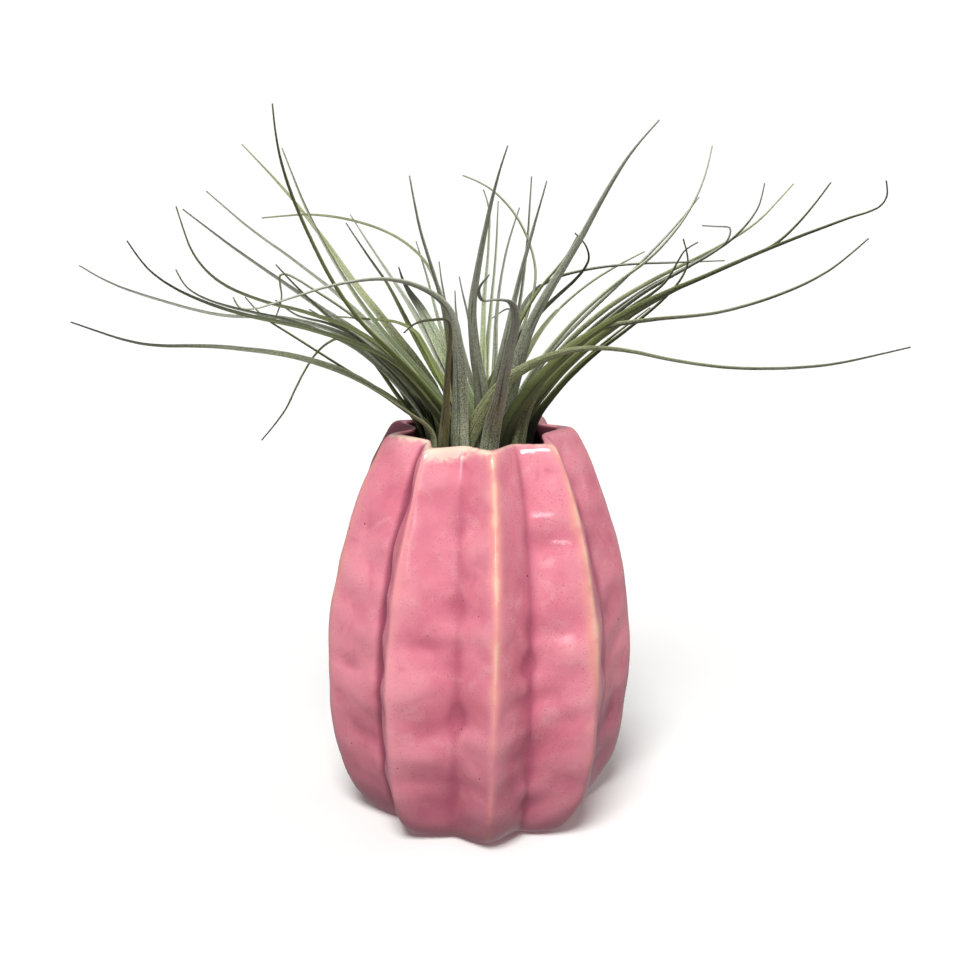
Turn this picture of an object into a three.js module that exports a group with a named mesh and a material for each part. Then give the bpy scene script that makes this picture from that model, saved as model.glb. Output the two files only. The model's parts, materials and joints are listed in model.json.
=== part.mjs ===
// Air plant in a ribbed ceramic vase.
// Millimetres, +Z up. The origin is the middle of the vase's flat foot, and the front looks along -Y.
import * as THREE from "three";

const { degToRad, radToDeg, euclideanModulo, clamp, lerp } = THREE.MathUtils;

// Vase: eight ribs like a star fruit, widest below the middle, the wall thickest in the ribs.
// The profile holds [height, distance of a rib's ridge from the axis].
const VASE_HEIGHT = 125;
const RIDGE_PROFILE = [
  [0, 37.6],
  [3, 41.2],
  [7, 43.8],
  [15, 46.8],
  [30, 49.9],
  [50, 51.2],
  [70, 49.8],
  [90, 45.6],
  [110, 38.9],
  [125, 31.8],
];

// The ribs are shaped by hand, so they are uneven. Each has the direction of its ridge at the foot and
// at the rim, in degrees from the front towards +X, and how far towards the next ridge its valley lies
// halfway up. At the foot and the rim a valley lies midway, or at the share `ends`. One rib reaches
// further out than the rest.
const RIBS = [
  { foot: 3.6, rim: 7.3, valley: 0.4 },
  { foot: 44.5, rim: 49.8, valley: 0.5 },
  { foot: 99, rim: 100, valley: 0.44 },
  { foot: 140, rim: 137, valley: 0.55 },
  { foot: 189, rim: 191, valley: 0.46 },
  { foot: 252, rim: 243, valley: 0.5, reach: 1.05 },
  { foot: 281, rim: 281, valley: 0.7, ends: 0.64 },
  { foot: 324.5, rim: 326.5, valley: 0.62 },
];
const VALLEY_DEPTH = 10.5;
const RIDGE_SOFTNESS = 0.1;
const FOOT_SOFTNESS = 0.28;
const FOOT_SOFT_HEIGHT = 14;
const VALLEY_SOFTNESS = 0.1;
const RIDGE_WALL = 6;
const VALLEY_WALL = 3.6;
const INNER_SOFTNESS = 0.2;
const FLOOR_THICKNESS = 6;
const FLOOR_ROUND = 3;
const EDGE_ROUND = 1.4;
const FACE_STEPS = [0, 0.1, 0.3, 0.55, 0.8];
const OUTER_ROWS = 30;
const INNER_ROWS = 9;

// Hollows pressed in the rib faces by thumb, each [direction, height, half width, half height, depth].
// Behind, where the vase isn't seen, they climb each face in a staggered row.
const HOLLOWS = [
  [-26, 101, 6, 5, 1.1],
  [-31, 109, 5, 4, 0.6],
  [-24, 67, 8.5, 4.5, 1.1],
  [-26, 43, 7, 5.5, 1.1],
  [-30, 24, 6.5, 5.5, 1],
  [-7, 43, 4.5, 6, 1.3],
  [-9, 24, 4, 6.5, 0.9],
  [17, 88, 4, 9, 0.8],
  [20, 63, 5, 6.5, 1.4],
  [17, 46, 4.5, 7, 1],
  [17, 32, 4.5, 5.5, 0.9],
  [39, 100, 6.5, 5, 1],
  [35, 71, 7, 5, 1],
  [37, 35, 7, 6, 1],
  [36, 54, 6, 4, 0.7],
  [64, 84, 6, 7, 1],
  [60, 55, 6.5, 6, 1],
  [62, 31, 6, 7, 0.9],
  [90, 92, 6, 6, 0.9],
  [88, 58, 6, 6, 0.8],
  [-70, 95, 6.5, 6, 1.1],
  [-68, 57, 7, 5, 1.1],
  [-68, 37, 7.5, 5, 1],
  [-64, 75, 6, 5, 0.8],
  [-92, 70, 7, 6, 0.8],
];
const HIDDEN_FROM = 104;
const HIDDEN_TO = 254;
const HOLLOW_DEPTH = 1.1;
const HOLLOW_SPACING = 23;
const HOLLOW_FIRST_HEIGHT = 12;
const HOLLOW_HALF_HEIGHT = 7;
const HOLLOW_STAGGER = 7.3;
const HOLLOW_FADE = { from: VASE_HEIGHT - 10, over: 45 };
const WAVER = 0.25;
const WAVER_LENGTH = 34;
const WAVER_SHIFT = 2.4;

// Stem: the short thick base that every leaf grows from, hidden inside the vase.
const STEM_BOTTOM = 74;
const STEM_TOP_RADIUS = 3;
const STEM_RADIUS = 11;
const STEM_TAPER_HEIGHT = 20;
const STEM_ROUND = 3;
const STEM_FOOT_SHARE = 0.6;
const STEM_HEAD_SHARE = 0.5;
const STEM_HEAD_HEIGHT = 2;
const STEM_SIDES = 20;

// Leaves: long channelled blades that taper to a wiry tip. The taper holds [share of the length, share
// of the leaf's own width], and a leaf may have a taper of its own.
const LEAF_ROOT_WIDTH = 3.3;
const LEAF_FULL_AT = 0.22;
const CHANNEL_FULL_AT = 0.4;
const LEAF_TAPER = [
  [0.55, 0.52],
  [0.8, 0.24],
];
const LEAF_TIP_WIDTH = 0.75;
const LEAF_ROOT_THICKNESS = 1;
const LEAF_TIP_THICKNESS = 0.75;
const CHANNEL_SHARE = 0.3;
const ROOT_GAP = 0.55;
const ROOT_CLEARANCE = 0.5;
const FIRST_ROOT = 4;
const LEVEL_HEIGHT = 3;
const LEVEL_STEP = 0.5;
const EVENNESS = 0.75;
const SHOULDER_OUT = 3;
const SHOULDER_UP = 10;
const STRAIGHT_STEP = 10;
const BEND_STEP = degToRad(17);
const CURVE_SAMPLES = 240;
const ROUNDING = 1e-9;

// How far the leaves spread: all pass the mouth near its middle, and the rest of a leaf's depth builds
// up over its length.
const MOUTH_DEPTH_SHARE = 0.2;
const MOUTH_DEPTH_LIMIT = 11;
const DEPTH_POWER = 1.1;

// Bending the leaves clear of each other and of the mouth.
const BEND_ROUNDS = 240;
const NEAR = 6;
const CELLS = 512;
const BEND_GAP = 0.6;
const TESTS_PER_STEP = 3;
const BEND_SPEED = 0.35;
const BEND_MOST = 1;
const BEND_STIFFNESS = 0.25;
const SEEN_FROM = VASE_HEIGHT + 20;
const BEND_ENOUGH = 0.1;
const WALL_GAP = 1;
const STEM_GAP = 1.5;
const MOUTH_CLEAR = VASE_HEIGHT + 1.5;
const REACH_ABOVE = 2.5;
const OUT_OF_MOUTH = VASE_HEIGHT + 8;

// Each leaf is given as it is seen from this point: where it crosses the upright plane through the
// axis, [across, height] from the mouth to the tip, and how far its tip lies behind (+) or before (-)
// that plane. Its width is its widest, just above the root, and its tone names its colour.
const VIEWER = new THREE.Vector3(0, -575, 268);

const LEFT_LEAVES = [
  {
    tone: "green",
    depth: -50,
    width: 4.8,
    seen: [
      [-12, 122.5], [-22, 131.5], [-38, 141.8], [-55, 147.8], [-80, 151.3], [-104, 152.3],
      [-125.5, 159],
    ],
  },
  {
    tone: "silver",
    depth: 18,
    width: 4.6,
    seen: [
      [-16, 124], [-24, 137], [-38, 152.5], [-58, 159.8], [-80, 161.3], [-100, 166.5],
      [-113, 171.3], [-122, 176.5],
    ],
  },
  {
    tone: "dark",
    depth: -62,
    width: 5.2,
    seen: [
      [-9.5, 124], [-17, 136], [-28, 147.5], [-48, 155.8], [-76, 162.5], [-92, 169], [-101, 175.5],
      [-107, 184],
    ],
  },
  {
    tone: "dark",
    depth: -28,
    width: 4.8,
    seen: [
      [-11, 128], [-20, 142], [-34, 154.5], [-52, 161.8], [-68, 166.2], [-80, 172], [-87, 180],
      [-91.8, 194.5],
    ],
  },
  {
    tone: "silver",
    depth: -6,
    width: 4.4,
    seen: [
      [-14, 124], [-22, 137], [-38, 151.5], [-58, 159.5], [-75, 163.5], [-84, 166.5], [-89.5, 170],
      [-92.6, 175.3],
    ],
  },
  {
    tone: "silver",
    depth: 42,
    width: 4.4,
    seen: [
      [-11, 130], [-20, 142], [-34, 154], [-48, 163.5], [-62, 173.2], [-76, 183.2], [-89.4, 193.7],
    ],
  },
  {
    tone: "silver",
    depth: 60,
    width: 4.4,
    taper: [[0.5, 0.42], [0.65, 0.27], [0.8, 0.19]],
    seen: [
      [-10, 130], [-18, 142], [-29, 155], [-42, 167.2], [-56, 178.2], [-70, 188.5], [-82, 199],
    ],
  },
  {
    tone: "green",
    depth: 74,
    width: 4.6,
    seen: [[-9, 133], [-17, 145], [-27, 158], [-38, 172], [-48, 186.2], [-59, 200], [-71, 213]],
  },
  {
    tone: "dark",
    depth: -52,
    width: 5.4,
    seen: [
      [-8, 124], [-17, 138], [-29, 151], [-37, 159.5], [-45, 171.5], [-52, 186], [-57.5, 200],
      [-60.5, 212], [-61.8, 225],
    ],
  },
  {
    tone: "pale",
    depth: 26,
    width: 5.2,
    seen: [
      [-9, 130], [-18, 143], [-29, 155.6], [-37, 166.5], [-45, 179.5], [-52, 193.3], [-59.2, 212],
    ],
  },
  {
    tone: "green",
    depth: 32,
    width: 4,
    taper: [[0.45, 0.6], [0.6, 0.25], [0.8, 0.2]],
    seen: [
      [-7, 130], [-8.5, 145], [-11, 165], [-16, 177], [-24, 184.5], [-36, 189.6], [-50.5, 192],
      [-66, 191],
    ],
  },
  {
    tone: "silver",
    depth: -64,
    width: 6.2,
    seen: [
      [-4.3, 125], [-4.5, 138], [-5.2, 150], [-8.2, 162.5], [-14.8, 168.6], [-27, 172.4],
      [-43, 170.9], [-60, 165.9], [-69, 163.3], [-73.5, 163.6], [-75.5, 166.8],
    ],
  },
  {
    tone: "green",
    depth: 8,
    width: 4.4,
    seen: [
      [-11, 127], [-20, 142], [-31, 155], [-42, 163.8], [-51, 169.6], [-58.5, 173.8],
      [-60.7, 173.4], [-60.6, 166.5], [-62.5, 160.7],
    ],
  },
  {
    tone: "green",
    depth: -18,
    width: 4.6,
    seen: [[-12, 127], [-22, 140], [-33, 150.6], [-45, 159.9], [-54, 168.4], [-61.6, 176.7]],
  },
  {
    tone: "dark",
    depth: 2,
    width: 4.2,
    seen: [
      [-15, 123.5], [-23, 136], [-34, 150], [-42, 154.2], [-48.9, 150.6], [-55, 142],
      [-60.5, 131.2], [-68, 121.7],
    ],
  },
  {
    tone: "dark",
    depth: 14,
    width: 5,
    seen: [
      [-13.5, 124], [-24, 133.8], [-38, 142.6], [-48.2, 149.2], [-57.8, 155.4], [-66, 161],
      [-71.5, 167],
    ],
  },
  {
    tone: "green",
    depth: 34,
    width: 4.6,
    seen: [[-13, 127], [-22, 140.5], [-33, 151.6], [-46, 158.4], [-56, 161.2], [-62.3, 165.8]],
  },
  {
    tone: "dark",
    depth: 20,
    width: 4,
    seen: [
      [-7, 130], [-12, 141], [-16.5, 149.5], [-19.8, 155.8], [-25.5, 159], [-34, 160],
      [-44, 160.8],
    ],
  },
  {
    tone: "silver",
    depth: -40,
    width: 4.6,
    seen: [[-6, 128], [-8.5, 148], [-10.5, 162], [-14, 174.5], [-18, 188], [-21, 203.6]],
  },
  {
    tone: "brown",
    depth: -84,
    width: 4.6,
    seen: [
      [-8.8, 122.5], [-8.9, 134], [-8.7, 147], [-8.4, 157], [-9.6, 159.8], [-14, 159.9],
      [-19.5, 158.8], [-23.1, 155.8],
    ],
  },
];

const BACK_LEAVES = [
  {
    tone: "pale",
    depth: 44,
    width: 6,
    taper: [[0.6, 0.75], [0.85, 0.4]],
    seen: [[-7, 130], [-11, 142], [-16, 153], [-20.5, 163], [-25, 170.5], [-26.8, 176]],
  },
  {
    tone: "silver",
    depth: 60,
    width: 3.8,
    seen: [[-7, 132], [-12, 145], [-19, 159], [-26, 170.8], [-33, 181.5], [-39.5, 192]],
  },
  {
    tone: "dark",
    depth: 88,
    width: 3.4,
    seen: [[-8, 134], [-14, 146], [-20, 156.5], [-27, 170], [-34, 180.2], [-40, 189.4]],
  },
  {
    tone: "pale",
    depth: 96,
    width: 3.2,
    seen: [[-6, 134], [-10, 148], [-13.5, 160.4], [-16.8, 174], [-19.7, 183.8]],
  },
  {
    tone: "silver",
    depth: 112,
    width: 3.2,
    seen: [[-5, 134], [-8.5, 148], [-10.5, 163], [-12, 172.5], [-12.6, 177.6]],
  },
  {
    tone: "silver",
    depth: 104,
    width: 3,
    seen: [[-3, 134], [-5.5, 148], [-7.6, 160], [-8, 168.7]],
  },
  {
    tone: "silver",
    depth: 90,
    width: 3.2,
    seen: [[-2.5, 134], [-3.5, 148], [-5.2, 161], [-7.5, 173]],
  },
  {
    tone: "pale",
    depth: 78,
    width: 3.6,
    seen: [[0.5, 134], [0.7, 148], [1, 164], [2.4, 182], [2.6, 193.6], [1, 199.5]],
  },
  {
    tone: "pale",
    depth: 92,
    width: 3.2,
    seen: [[2, 134], [2.3, 149], [3.6, 166], [4.9, 181], [5.5, 196]],
  },
  {
    tone: "silver",
    depth: 84,
    width: 3.2,
    seen: [[3, 134], [3.4, 152], [5, 169], [7.8, 182.5], [11.3, 194]],
  },
  {
    tone: "silver",
    depth: 66,
    width: 3.4,
    seen: [[6, 134], [9.5, 150], [12.5, 166], [14.7, 185], [15.8, 203.4]],
  },
  {
    tone: "green",
    depth: 30,
    width: 3.6,
    seen: [
      [5.5, 130], [9.5, 148], [14.5, 162], [16.9, 173.8], [14.5, 184.7], [9.3, 193.8],
      [2.4, 200.3], [-5.2, 203.8],
    ],
  },
  {
    tone: "silver",
    depth: 108,
    width: 3.2,
    seen: [[7, 134], [11.5, 146], [12.8, 156], [9, 163], [3.7, 160.2]],
  },
  {
    tone: "dark",
    depth: 98,
    width: 5,
    seen: [[-13, 130], [-20, 139], [-29, 148.5], [-42, 157], [-52, 163]],
  },
  {
    tone: "dark",
    depth: 100,
    width: 5.2,
    seen: [[13, 129], [21, 138], [31, 148.5], [43, 158.5], [56, 168]],
  },
  {
    tone: "dark",
    depth: 40,
    width: 5.2,
    seen: [[-17, 124.5], [-21, 130], [-27, 140.5], [-37, 151], [-50, 156.8]],
  },
  {
    tone: "dark",
    depth: 44,
    width: 5.2,
    seen: [[15, 125.5], [20, 134], [28, 144], [38, 153], [52, 164]],
  },
];

const FRONT_LEAVES = [
  {
    tone: "silver",
    depth: -54,
    width: 5.8,
    seen: [
      [-1, 125], [-0.5, 138], [-2, 150], [-2.6, 163], [-0.5, 177], [2.5, 191.5], [5.4, 203.4],
      [8.3, 212.5],
    ],
  },
  {
    tone: "silver",
    depth: -86,
    width: 6.2,
    taper: [[0.55, 0.55], [0.8, 0.36], [0.93, 0.22]],
    seen: [
      [1, 122], [4, 135], [7.4, 149.6], [9.8, 160.3], [8.6, 165.3], [4.5, 166.1], [0.5, 165.9],
      [-0.5, 169], [2.7, 173.6],
    ],
  },
  {
    tone: "silver",
    depth: -38,
    width: 4.8,
    seen: [[4, 124], [7.5, 140], [10.5, 156], [13.5, 171], [17, 185.5], [21.5, 202.2]],
  },
  {
    tone: "green",
    depth: -72,
    width: 5.2,
    taper: [[0.36, 0.62], [0.5, 0.27], [0.8, 0.16]],
    seen: [
      [-2.6, 121.5], [1.6, 131.8], [8, 140.5], [18, 147], [31, 150.8], [44, 150.4], [62, 146.7],
      [84, 144.5], [108, 145.8], [132.6, 151.2],
    ],
  },
  {
    tone: "dark",
    depth: -14,
    width: 4.4,
    seen: [
      [-3, 124], [0, 134], [5, 145], [11, 154], [20.5, 164.7], [29, 172.5], [32.9, 178.5],
      [31.8, 183], [28.7, 186.4],
    ],
  },
];

const RIGHT_LEAVES = [
  {
    tone: "silver",
    depth: -34,
    width: 6.4,
    seen: [
      [7, 124], [11, 141], [15.6, 157], [22, 169.8], [30.4, 184.2], [39.9, 201.8], [46.3, 211.7],
      [53.6, 220.3],
    ],
  },
  {
    tone: "dark",
    depth: 10,
    width: 4.8,
    seen: [[6, 130], [8.5, 146], [13.5, 160], [20, 171], [26, 178.4], [30, 185.5]],
  },
  {
    tone: "silver",
    depth: 44,
    width: 4.4,
    seen: [
      [7, 134], [9.8, 150], [13.2, 164.5], [20, 171.4], [30, 174.8], [44, 176.8], [60, 177.5],
      [74.4, 178],
    ],
  },
  {
    tone: "green",
    depth: 76,
    width: 4.2,
    seen: [[8, 134], [13.5, 148], [21, 159.8], [31, 169.3], [41, 176], [49.8, 180.7]],
  },
  {
    tone: "pale",
    depth: 30,
    width: 5,
    seen: [
      [10, 130], [17, 144], [27.8, 158.2], [40.3, 170], [52.8, 179.8], [62.4, 191.8], [67.5, 203],
      [69.6, 212.7],
    ],
  },
  {
    tone: "silver",
    depth: 60,
    width: 4.6,
    seen: [[9, 134], [18, 148], [29.5, 160], [43.6, 173.2], [56.6, 186.4], [65.5, 197.3]],
  },
  {
    tone: "silver",
    depth: 18,
    width: 4.8,
    seen: [
      [10, 128], [20, 143], [33, 155.5], [47.3, 167], [60, 174.6], [70, 180.3], [74.8, 184.3],
      [75.6, 187.9], [72, 188.4], [67.2, 188.7],
    ],
  },
  {
    tone: "green",
    depth: 6,
    width: 4.4,
    seen: [
      [10, 126], [20, 141], [34, 154.5], [46, 163.5], [56, 170.8], [59.5, 176.2], [62.2, 181],
      [66.2, 183.7],
    ],
  },
  {
    tone: "dark",
    depth: -10,
    width: 5,
    seen: [
      [12, 123.5], [21, 137], [33, 148.5], [46, 158.3], [56, 167], [61, 173], [62.8, 178],
      [61.3, 184.6],
    ],
  },
  {
    tone: "silver",
    depth: 42,
    width: 4.8,
    seen: [
      [12, 128], [21, 143], [34, 157], [50, 169], [64.4, 176.9], [76.9, 185.2], [83.8, 194],
      [85.6, 201.5],
    ],
  },
  {
    tone: "green",
    depth: 66,
    width: 4.6,
    seen: [
      [11, 130], [22, 147.5], [37, 162], [54, 172.8], [71, 181.5], [83.8, 189.8], [94.4, 201.3],
    ],
  },
  {
    tone: "dark",
    depth: -24,
    width: 5,
    seen: [
      [9.5, 124], [20, 139.5], [36, 154.5], [55, 167], [74, 175.9], [89.2, 183], [97.9, 191.4],
      [105.5, 201.7],
    ],
  },
  {
    tone: "dark",
    depth: -50,
    width: 5.2,
    taper: [[0.5, 0.48], [0.65, 0.3], [0.78, 0.2]],
    seen: [
      [7.5, 123], [15, 137], [30, 152.5], [50, 165], [70, 174], [92, 183.5], [112, 191.2],
      [120.5, 194.3], [122.7, 197.5], [122.3, 202.2],
    ],
  },
  {
    tone: "green",
    depth: -38,
    width: 5.2,
    taper: [[0.5, 0.44], [0.65, 0.27], [0.8, 0.19]],
    seen: [
      [6, 122.5], [13, 138], [24, 150.6], [36, 157.2], [54, 160.1], [72, 162], [90, 167.1],
      [106, 174.9], [117.8, 184.8],
    ],
  },
  {
    tone: "green",
    depth: 52,
    width: 5,
    seen: [[14.5, 126], [21, 136.5], [30, 147], [42, 156.5], [58, 169]],
  },
];

const GLAZE_PINK = { color: "#d8788a", roughness: 0.18, metalness: 0 };
const STEM_BROWN = { color: "#6b5a3e", roughness: 0.9, metalness: 0 };
const LEAF_TONES = {
  silver: { color: "#8d968c", roughness: 0.75, metalness: 0 },
  pale: { color: "#a9b78e", roughness: 0.7, metalness: 0 },
  green: { color: "#6d7c5c", roughness: 0.7, metalness: 0 },
  dark: { color: "#434c3c", roughness: 0.65, metalness: 0 },
  brown: { color: "#77705c", roughness: 0.75, metalness: 0 },
};

// A smooth curve through [station, value] pairs.
function smoothThrough(pairs, station) {
  const last = pairs.length - 1;
  const next = pairs.findIndex(([at], i) => i > 0 && (station <= at || i === last));
  const slope = (i) => {
    const low = pairs[Math.max(i - 1, 0)];
    const high = pairs[Math.min(i + 1, last)];
    return (high[1] - low[1]) / (high[0] - low[0]);
  };
  const [start, end] = [pairs[next - 1], pairs[next]];
  const span = end[0] - start[0];
  const t = (station - start[0]) / span;
  const bend = slope(next - 1) * span * t * (1 - t) ** 2 - slope(next) * span * t ** 2 * (1 - t);
  return start[1] * (1 + 2 * t) * (1 - t) ** 2 + end[1] * t ** 2 * (3 - 2 * t) + bend;
}

// Closes a stack of rings of equal length into one solid, with a fan to a middle point at each end.
function skin(rings, firstMiddle, lastMiddle) {
  const count = rings[0].length;
  const points = [...rings.flat(), firstMiddle, lastMiddle];
  const middle = [points.length - 2, points.length - 1];
  const faces = [];
  rings.slice(1).forEach((_, ring) => {
    for (let i = 0; i < count; i += 1) {
      const j = (i + 1) % count;
      const [a, b] = [ring * count + i, ring * count + j];
      faces.push(a, b, b + count, a, b + count, a + count);
    }
  });
  const top = (rings.length - 1) * count;
  for (let i = 0; i < count; i += 1) {
    const j = (i + 1) % count;
    faces.push(middle[0], j, i, middle[1], top + i, top + j);
  }
  const solid = new THREE.BufferGeometry().setFromPoints(points);
  solid.setIndex(faces);
  solid.computeVertexNormals();
  return solid;
}

// The direction of a ridge at a height. Ribs past the last start again, one turn on.
function ridgeTurn(rib, height) {
  const { foot, rim } = RIBS[rib % RIBS.length];
  return lerp(foot, rim, height / VASE_HEIGHT) + 360 * Math.floor(rib / RIBS.length);
}

// The direction of the valley between a rib and the next.
function valleyTurn(rib, height) {
  const { valley, ends = 0.5 } = RIBS[rib % RIBS.length];
  const share = lerp(ends, valley, Math.sin((Math.PI * height) / VASE_HEIGHT));
  return lerp(ridgeTurn(rib, height), ridgeTurn(rib + 1, height), share);
}

// A place on a rib's face: side 1 falls to the valley after its ridge and -1 to the valley before, and
// `away` is 0 at the ridge and 1 in the valley.
function facePlace(rib, side, away, height) {
  const ridge = ridgeTurn(rib, height);
  const valley = valleyTurn(side > 0 ? rib : rib - 1, height);
  const turn = lerp(ridge, valley, away);
  return { rib, side, away, turn, angle: degToRad(turn), span: Math.abs(valley - ridge) };
}

// The place on the rib faces that lies in a direction round the vase, in degrees.
function faceAt(turn, height) {
  const wrapped = ridgeTurn(0, height) + euclideanModulo(turn - ridgeTurn(0, height), 360);
  const before = RIBS.findLastIndex((_, rib) => ridgeTurn(rib, height) <= wrapped);
  const valley = valleyTurn(before, height);
  const [rib, side] = wrapped <= valley ? [before, 1] : [before + 1, -1];
  const ridge = ridgeTurn(rib, height);
  return facePlace(rib, side, (wrapped - ridge) / (valley - ridge), height);
}

// The places round the vase where a ring has a point: from each ridge to its valley and up again.
function ringPlaces(height) {
  return RIBS.flatMap((_, rib) => {
    const down = [...FACE_STEPS, 1].map((away) => facePlace(rib, 1, away, height));
    const up = FACE_STEPS.slice(1).reverse().map((away) => facePlace(rib + 1, -1, away, height));
    return [...down, ...up];
  });
}

// How far from the axis a flat rib face lies, a share `away` of the way from its ridge to its valley.
function faceRadius(ridgeRadius, valleyRadius, { away, span: degrees }, ridgeSoftness, valleySoftness) {
  const soften = (u, softness) => Math.hypot(u, softness) - softness * u;
  const fromRidge = soften(away, ridgeSoftness);
  const fromValley = soften(1 - away, valleySoftness);
  const share = fromRidge / (fromRidge + fromValley);
  const span = degToRad(degrees);
  const run = valleyRadius * Math.sin(span * (1 - share)) + ridgeRadius * Math.sin(span * share);
  return (ridgeRadius * valleyRadius * Math.sin(span)) / run;
}

// Depth of the pressed hollows at a place.
function hollowDepth({ rib, side, away, turn }, radius, height) {
  const toFront = euclideanModulo(turn + 180, 360) - 180;
  if (toFront < HIDDEN_FROM && toFront > HIDDEN_TO - 360) {
    return HOLLOWS.reduce((depth, [at, level, wide, tall, deep]) => {
      const aside = (degToRad(toFront - at) * radius) / wide;
      const above = (height - level) / tall;
      return depth + deep * Math.exp(-aside * aside - above * above);
    }, 0);
  }
  const stagger = ((rib * 2 + (side > 0 ? 1 : 0)) * HOLLOW_STAGGER) % HOLLOW_SPACING;
  const first = HOLLOW_FIRST_HEIGHT + stagger;
  const nearest = Math.round((height - first) / HOLLOW_SPACING) * HOLLOW_SPACING + first;
  const offset = (height - nearest) / HOLLOW_HALF_HEIGHT;
  const fade = clamp((HOLLOW_FADE.from - height) / HOLLOW_FADE.over, 0, 1);
  return HOLLOW_DEPTH * fade * Math.sin(Math.PI * away) * Math.exp(-offset * offset);
}

// How much further out than the profile a rib reaches.
const ribReach = ({ rib }) => RIBS[rib % RIBS.length].reach ?? 1;

// The slow waver of a ridge, different on every rib.
function waver({ rib }, height) {
  return WAVER * Math.sin((2 * Math.PI * height) / WAVER_LENGTH + WAVER_SHIFT * (rib % RIBS.length));
}

function outerRing(height, inset) {
  const ridge = smoothThrough(RIDGE_PROFILE, height);
  const softness = lerp(FOOT_SOFTNESS, RIDGE_SOFTNESS, clamp(height / FOOT_SOFT_HEIGHT, 0, 1));
  return ringPlaces(height).map((place) => {
    const valley = ridge - VALLEY_DEPTH;
    const flat = faceRadius(ridge * ribReach(place), valley, place, softness, VALLEY_SOFTNESS);
    const uneven = waver(place, height) * (1 - place.away) - hollowDepth(place, flat, height);
    const radius = flat + uneven - inset;
    return new THREE.Vector3(radius * Math.sin(place.angle), -radius * Math.cos(place.angle), height);
  });
}

// How far from the axis the inside of the wall lies at a place and a height.
function innerRadius(place, height) {
  const ridge = smoothThrough(RIDGE_PROFILE, height);
  const valley = ridge - VALLEY_DEPTH - VALLEY_WALL;
  const inner = ridge * ribReach(place) - RIDGE_WALL;
  return faceRadius(inner, valley, place, INNER_SOFTNESS, INNER_SOFTNESS);
}

function innerRing(height, inset) {
  return ringPlaces(height).map((place) => {
    const radius = innerRadius(place, height) + inset;
    return new THREE.Vector3(radius * Math.sin(place.angle), -radius * Math.cos(place.angle), height);
  });
}

function vase() {
  const spread = (from, to, rows) => Array.from({ length: rows }, (_, i) => lerp(from, to, i / (rows - 1)));
  const top = VASE_HEIGHT - EDGE_ROUND;
  const rings = [
    outerRing(0, EDGE_ROUND),
    ...spread(EDGE_ROUND, top, OUTER_ROWS).map((height) => outerRing(height, 0)),
    outerRing(VASE_HEIGHT, EDGE_ROUND),
    innerRing(VASE_HEIGHT, EDGE_ROUND),
    ...spread(top, FLOOR_THICKNESS + FLOOR_ROUND, INNER_ROWS).map((height) => innerRing(height, 0)),
    innerRing(FLOOR_THICKNESS, -FLOOR_ROUND),
  ];
  return skin(rings, new THREE.Vector3(0, 0, 0), new THREE.Vector3(0, 0, FLOOR_THICKNESS));
}

// The point on a sight line that lies `depth` behind the upright plane through the axis.
function onSight([across, height], depth) {
  const reach = 1 - depth / VIEWER.y;
  return new THREE.Vector3(across, 0, height).sub(VIEWER).multiplyScalar(reach).add(VIEWER);
}

// Where a leaf runs once it is out of the stem.
function freePath({ depth, seen }) {
  const sights = seen.map(([across, height]) => new THREE.Vector2(across, height));
  let gone = 0;
  const runs = sights.map((sight, i) => (gone += i ? sight.distanceTo(sights[i - 1]) : 0));
  const mouthDepth = clamp(depth * MOUTH_DEPTH_SHARE, -MOUTH_DEPTH_LIMIT, MOUTH_DEPTH_LIMIT);
  const depthAt = (share) => mouthDepth + (depth - mouthDepth) * share ** DEPTH_POWER;
  return seen.map((sight, i) => onSight(sight, depthAt(runs[i] / gone)));
}

function stemRadius(height) {
  const share = Math.min(1, Math.max(0, (height - STEM_BOTTOM) / STEM_TAPER_HEIGHT));
  return STEM_RADIUS + (STEM_TOP_RADIUS - STEM_RADIUS) * share;
}

// Gives every leaf a root on the stem. The roots keep the leaves' order round the stem and are spread
// more evenly than the leaves. The flattest leaves sit lowest, and a root moves up until it is clear of
// the roots already there.
function seatLeaves(leaves) {
  const planned = leaves.map((leaf) => {
    const path = freePath(leaf);
    const [mouth, next] = path;
    const heading = Math.atan2(mouth.y + next.y, mouth.x + next.x);
    return { leaf, path, heading, lean: Math.hypot(next.x, next.y) / next.z };
  });
  const turns = [...planned].sort((a, b) => a.heading - b.heading);
  turns.forEach((plan, rank) => {
    const even = -Math.PI + (2 * Math.PI * (rank + 0.5)) / turns.length;
    plan.rootTurn = lerp(plan.heading, even, EVENNESS);
  });
  const seated = [];
  for (const plan of [...planned].sort((a, b) => b.lean - a.lean)) {
    let height = STEM_BOTTOM + FIRST_ROOT;
    const clash = (other) => {
      const turn = Math.acos(Math.cos(plan.rootTurn - other.rootTurn));
      const apart = turn * (stemRadius(height) + LEAF_ROOT_THICKNESS);
      return apart < LEAF_ROOT_WIDTH + ROOT_CLEARANCE && Math.abs(height - other.rootHeight) < LEVEL_HEIGHT;
    };
    while (seated.some(clash)) height += LEVEL_STEP;
    plan.rootHeight = height;
    const radius = stemRadius(height) + LEAF_ROOT_THICKNESS / 2 + ROOT_GAP;
    const onTurn = (distance, z) =>
      new THREE.Vector3(distance * Math.cos(plan.rootTurn), distance * Math.sin(plan.rootTurn), z);
    plan.path = [onTurn(radius, height), onTurn(radius + SHOULDER_OUT, height + SHOULDER_UP), ...plan.path];
    seated.push(plan);
  }
  return { planned, stemTop: Math.max(...seated.map((plan) => plan.rootHeight)) + STEM_HEAD_HEIGHT };
}

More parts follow.
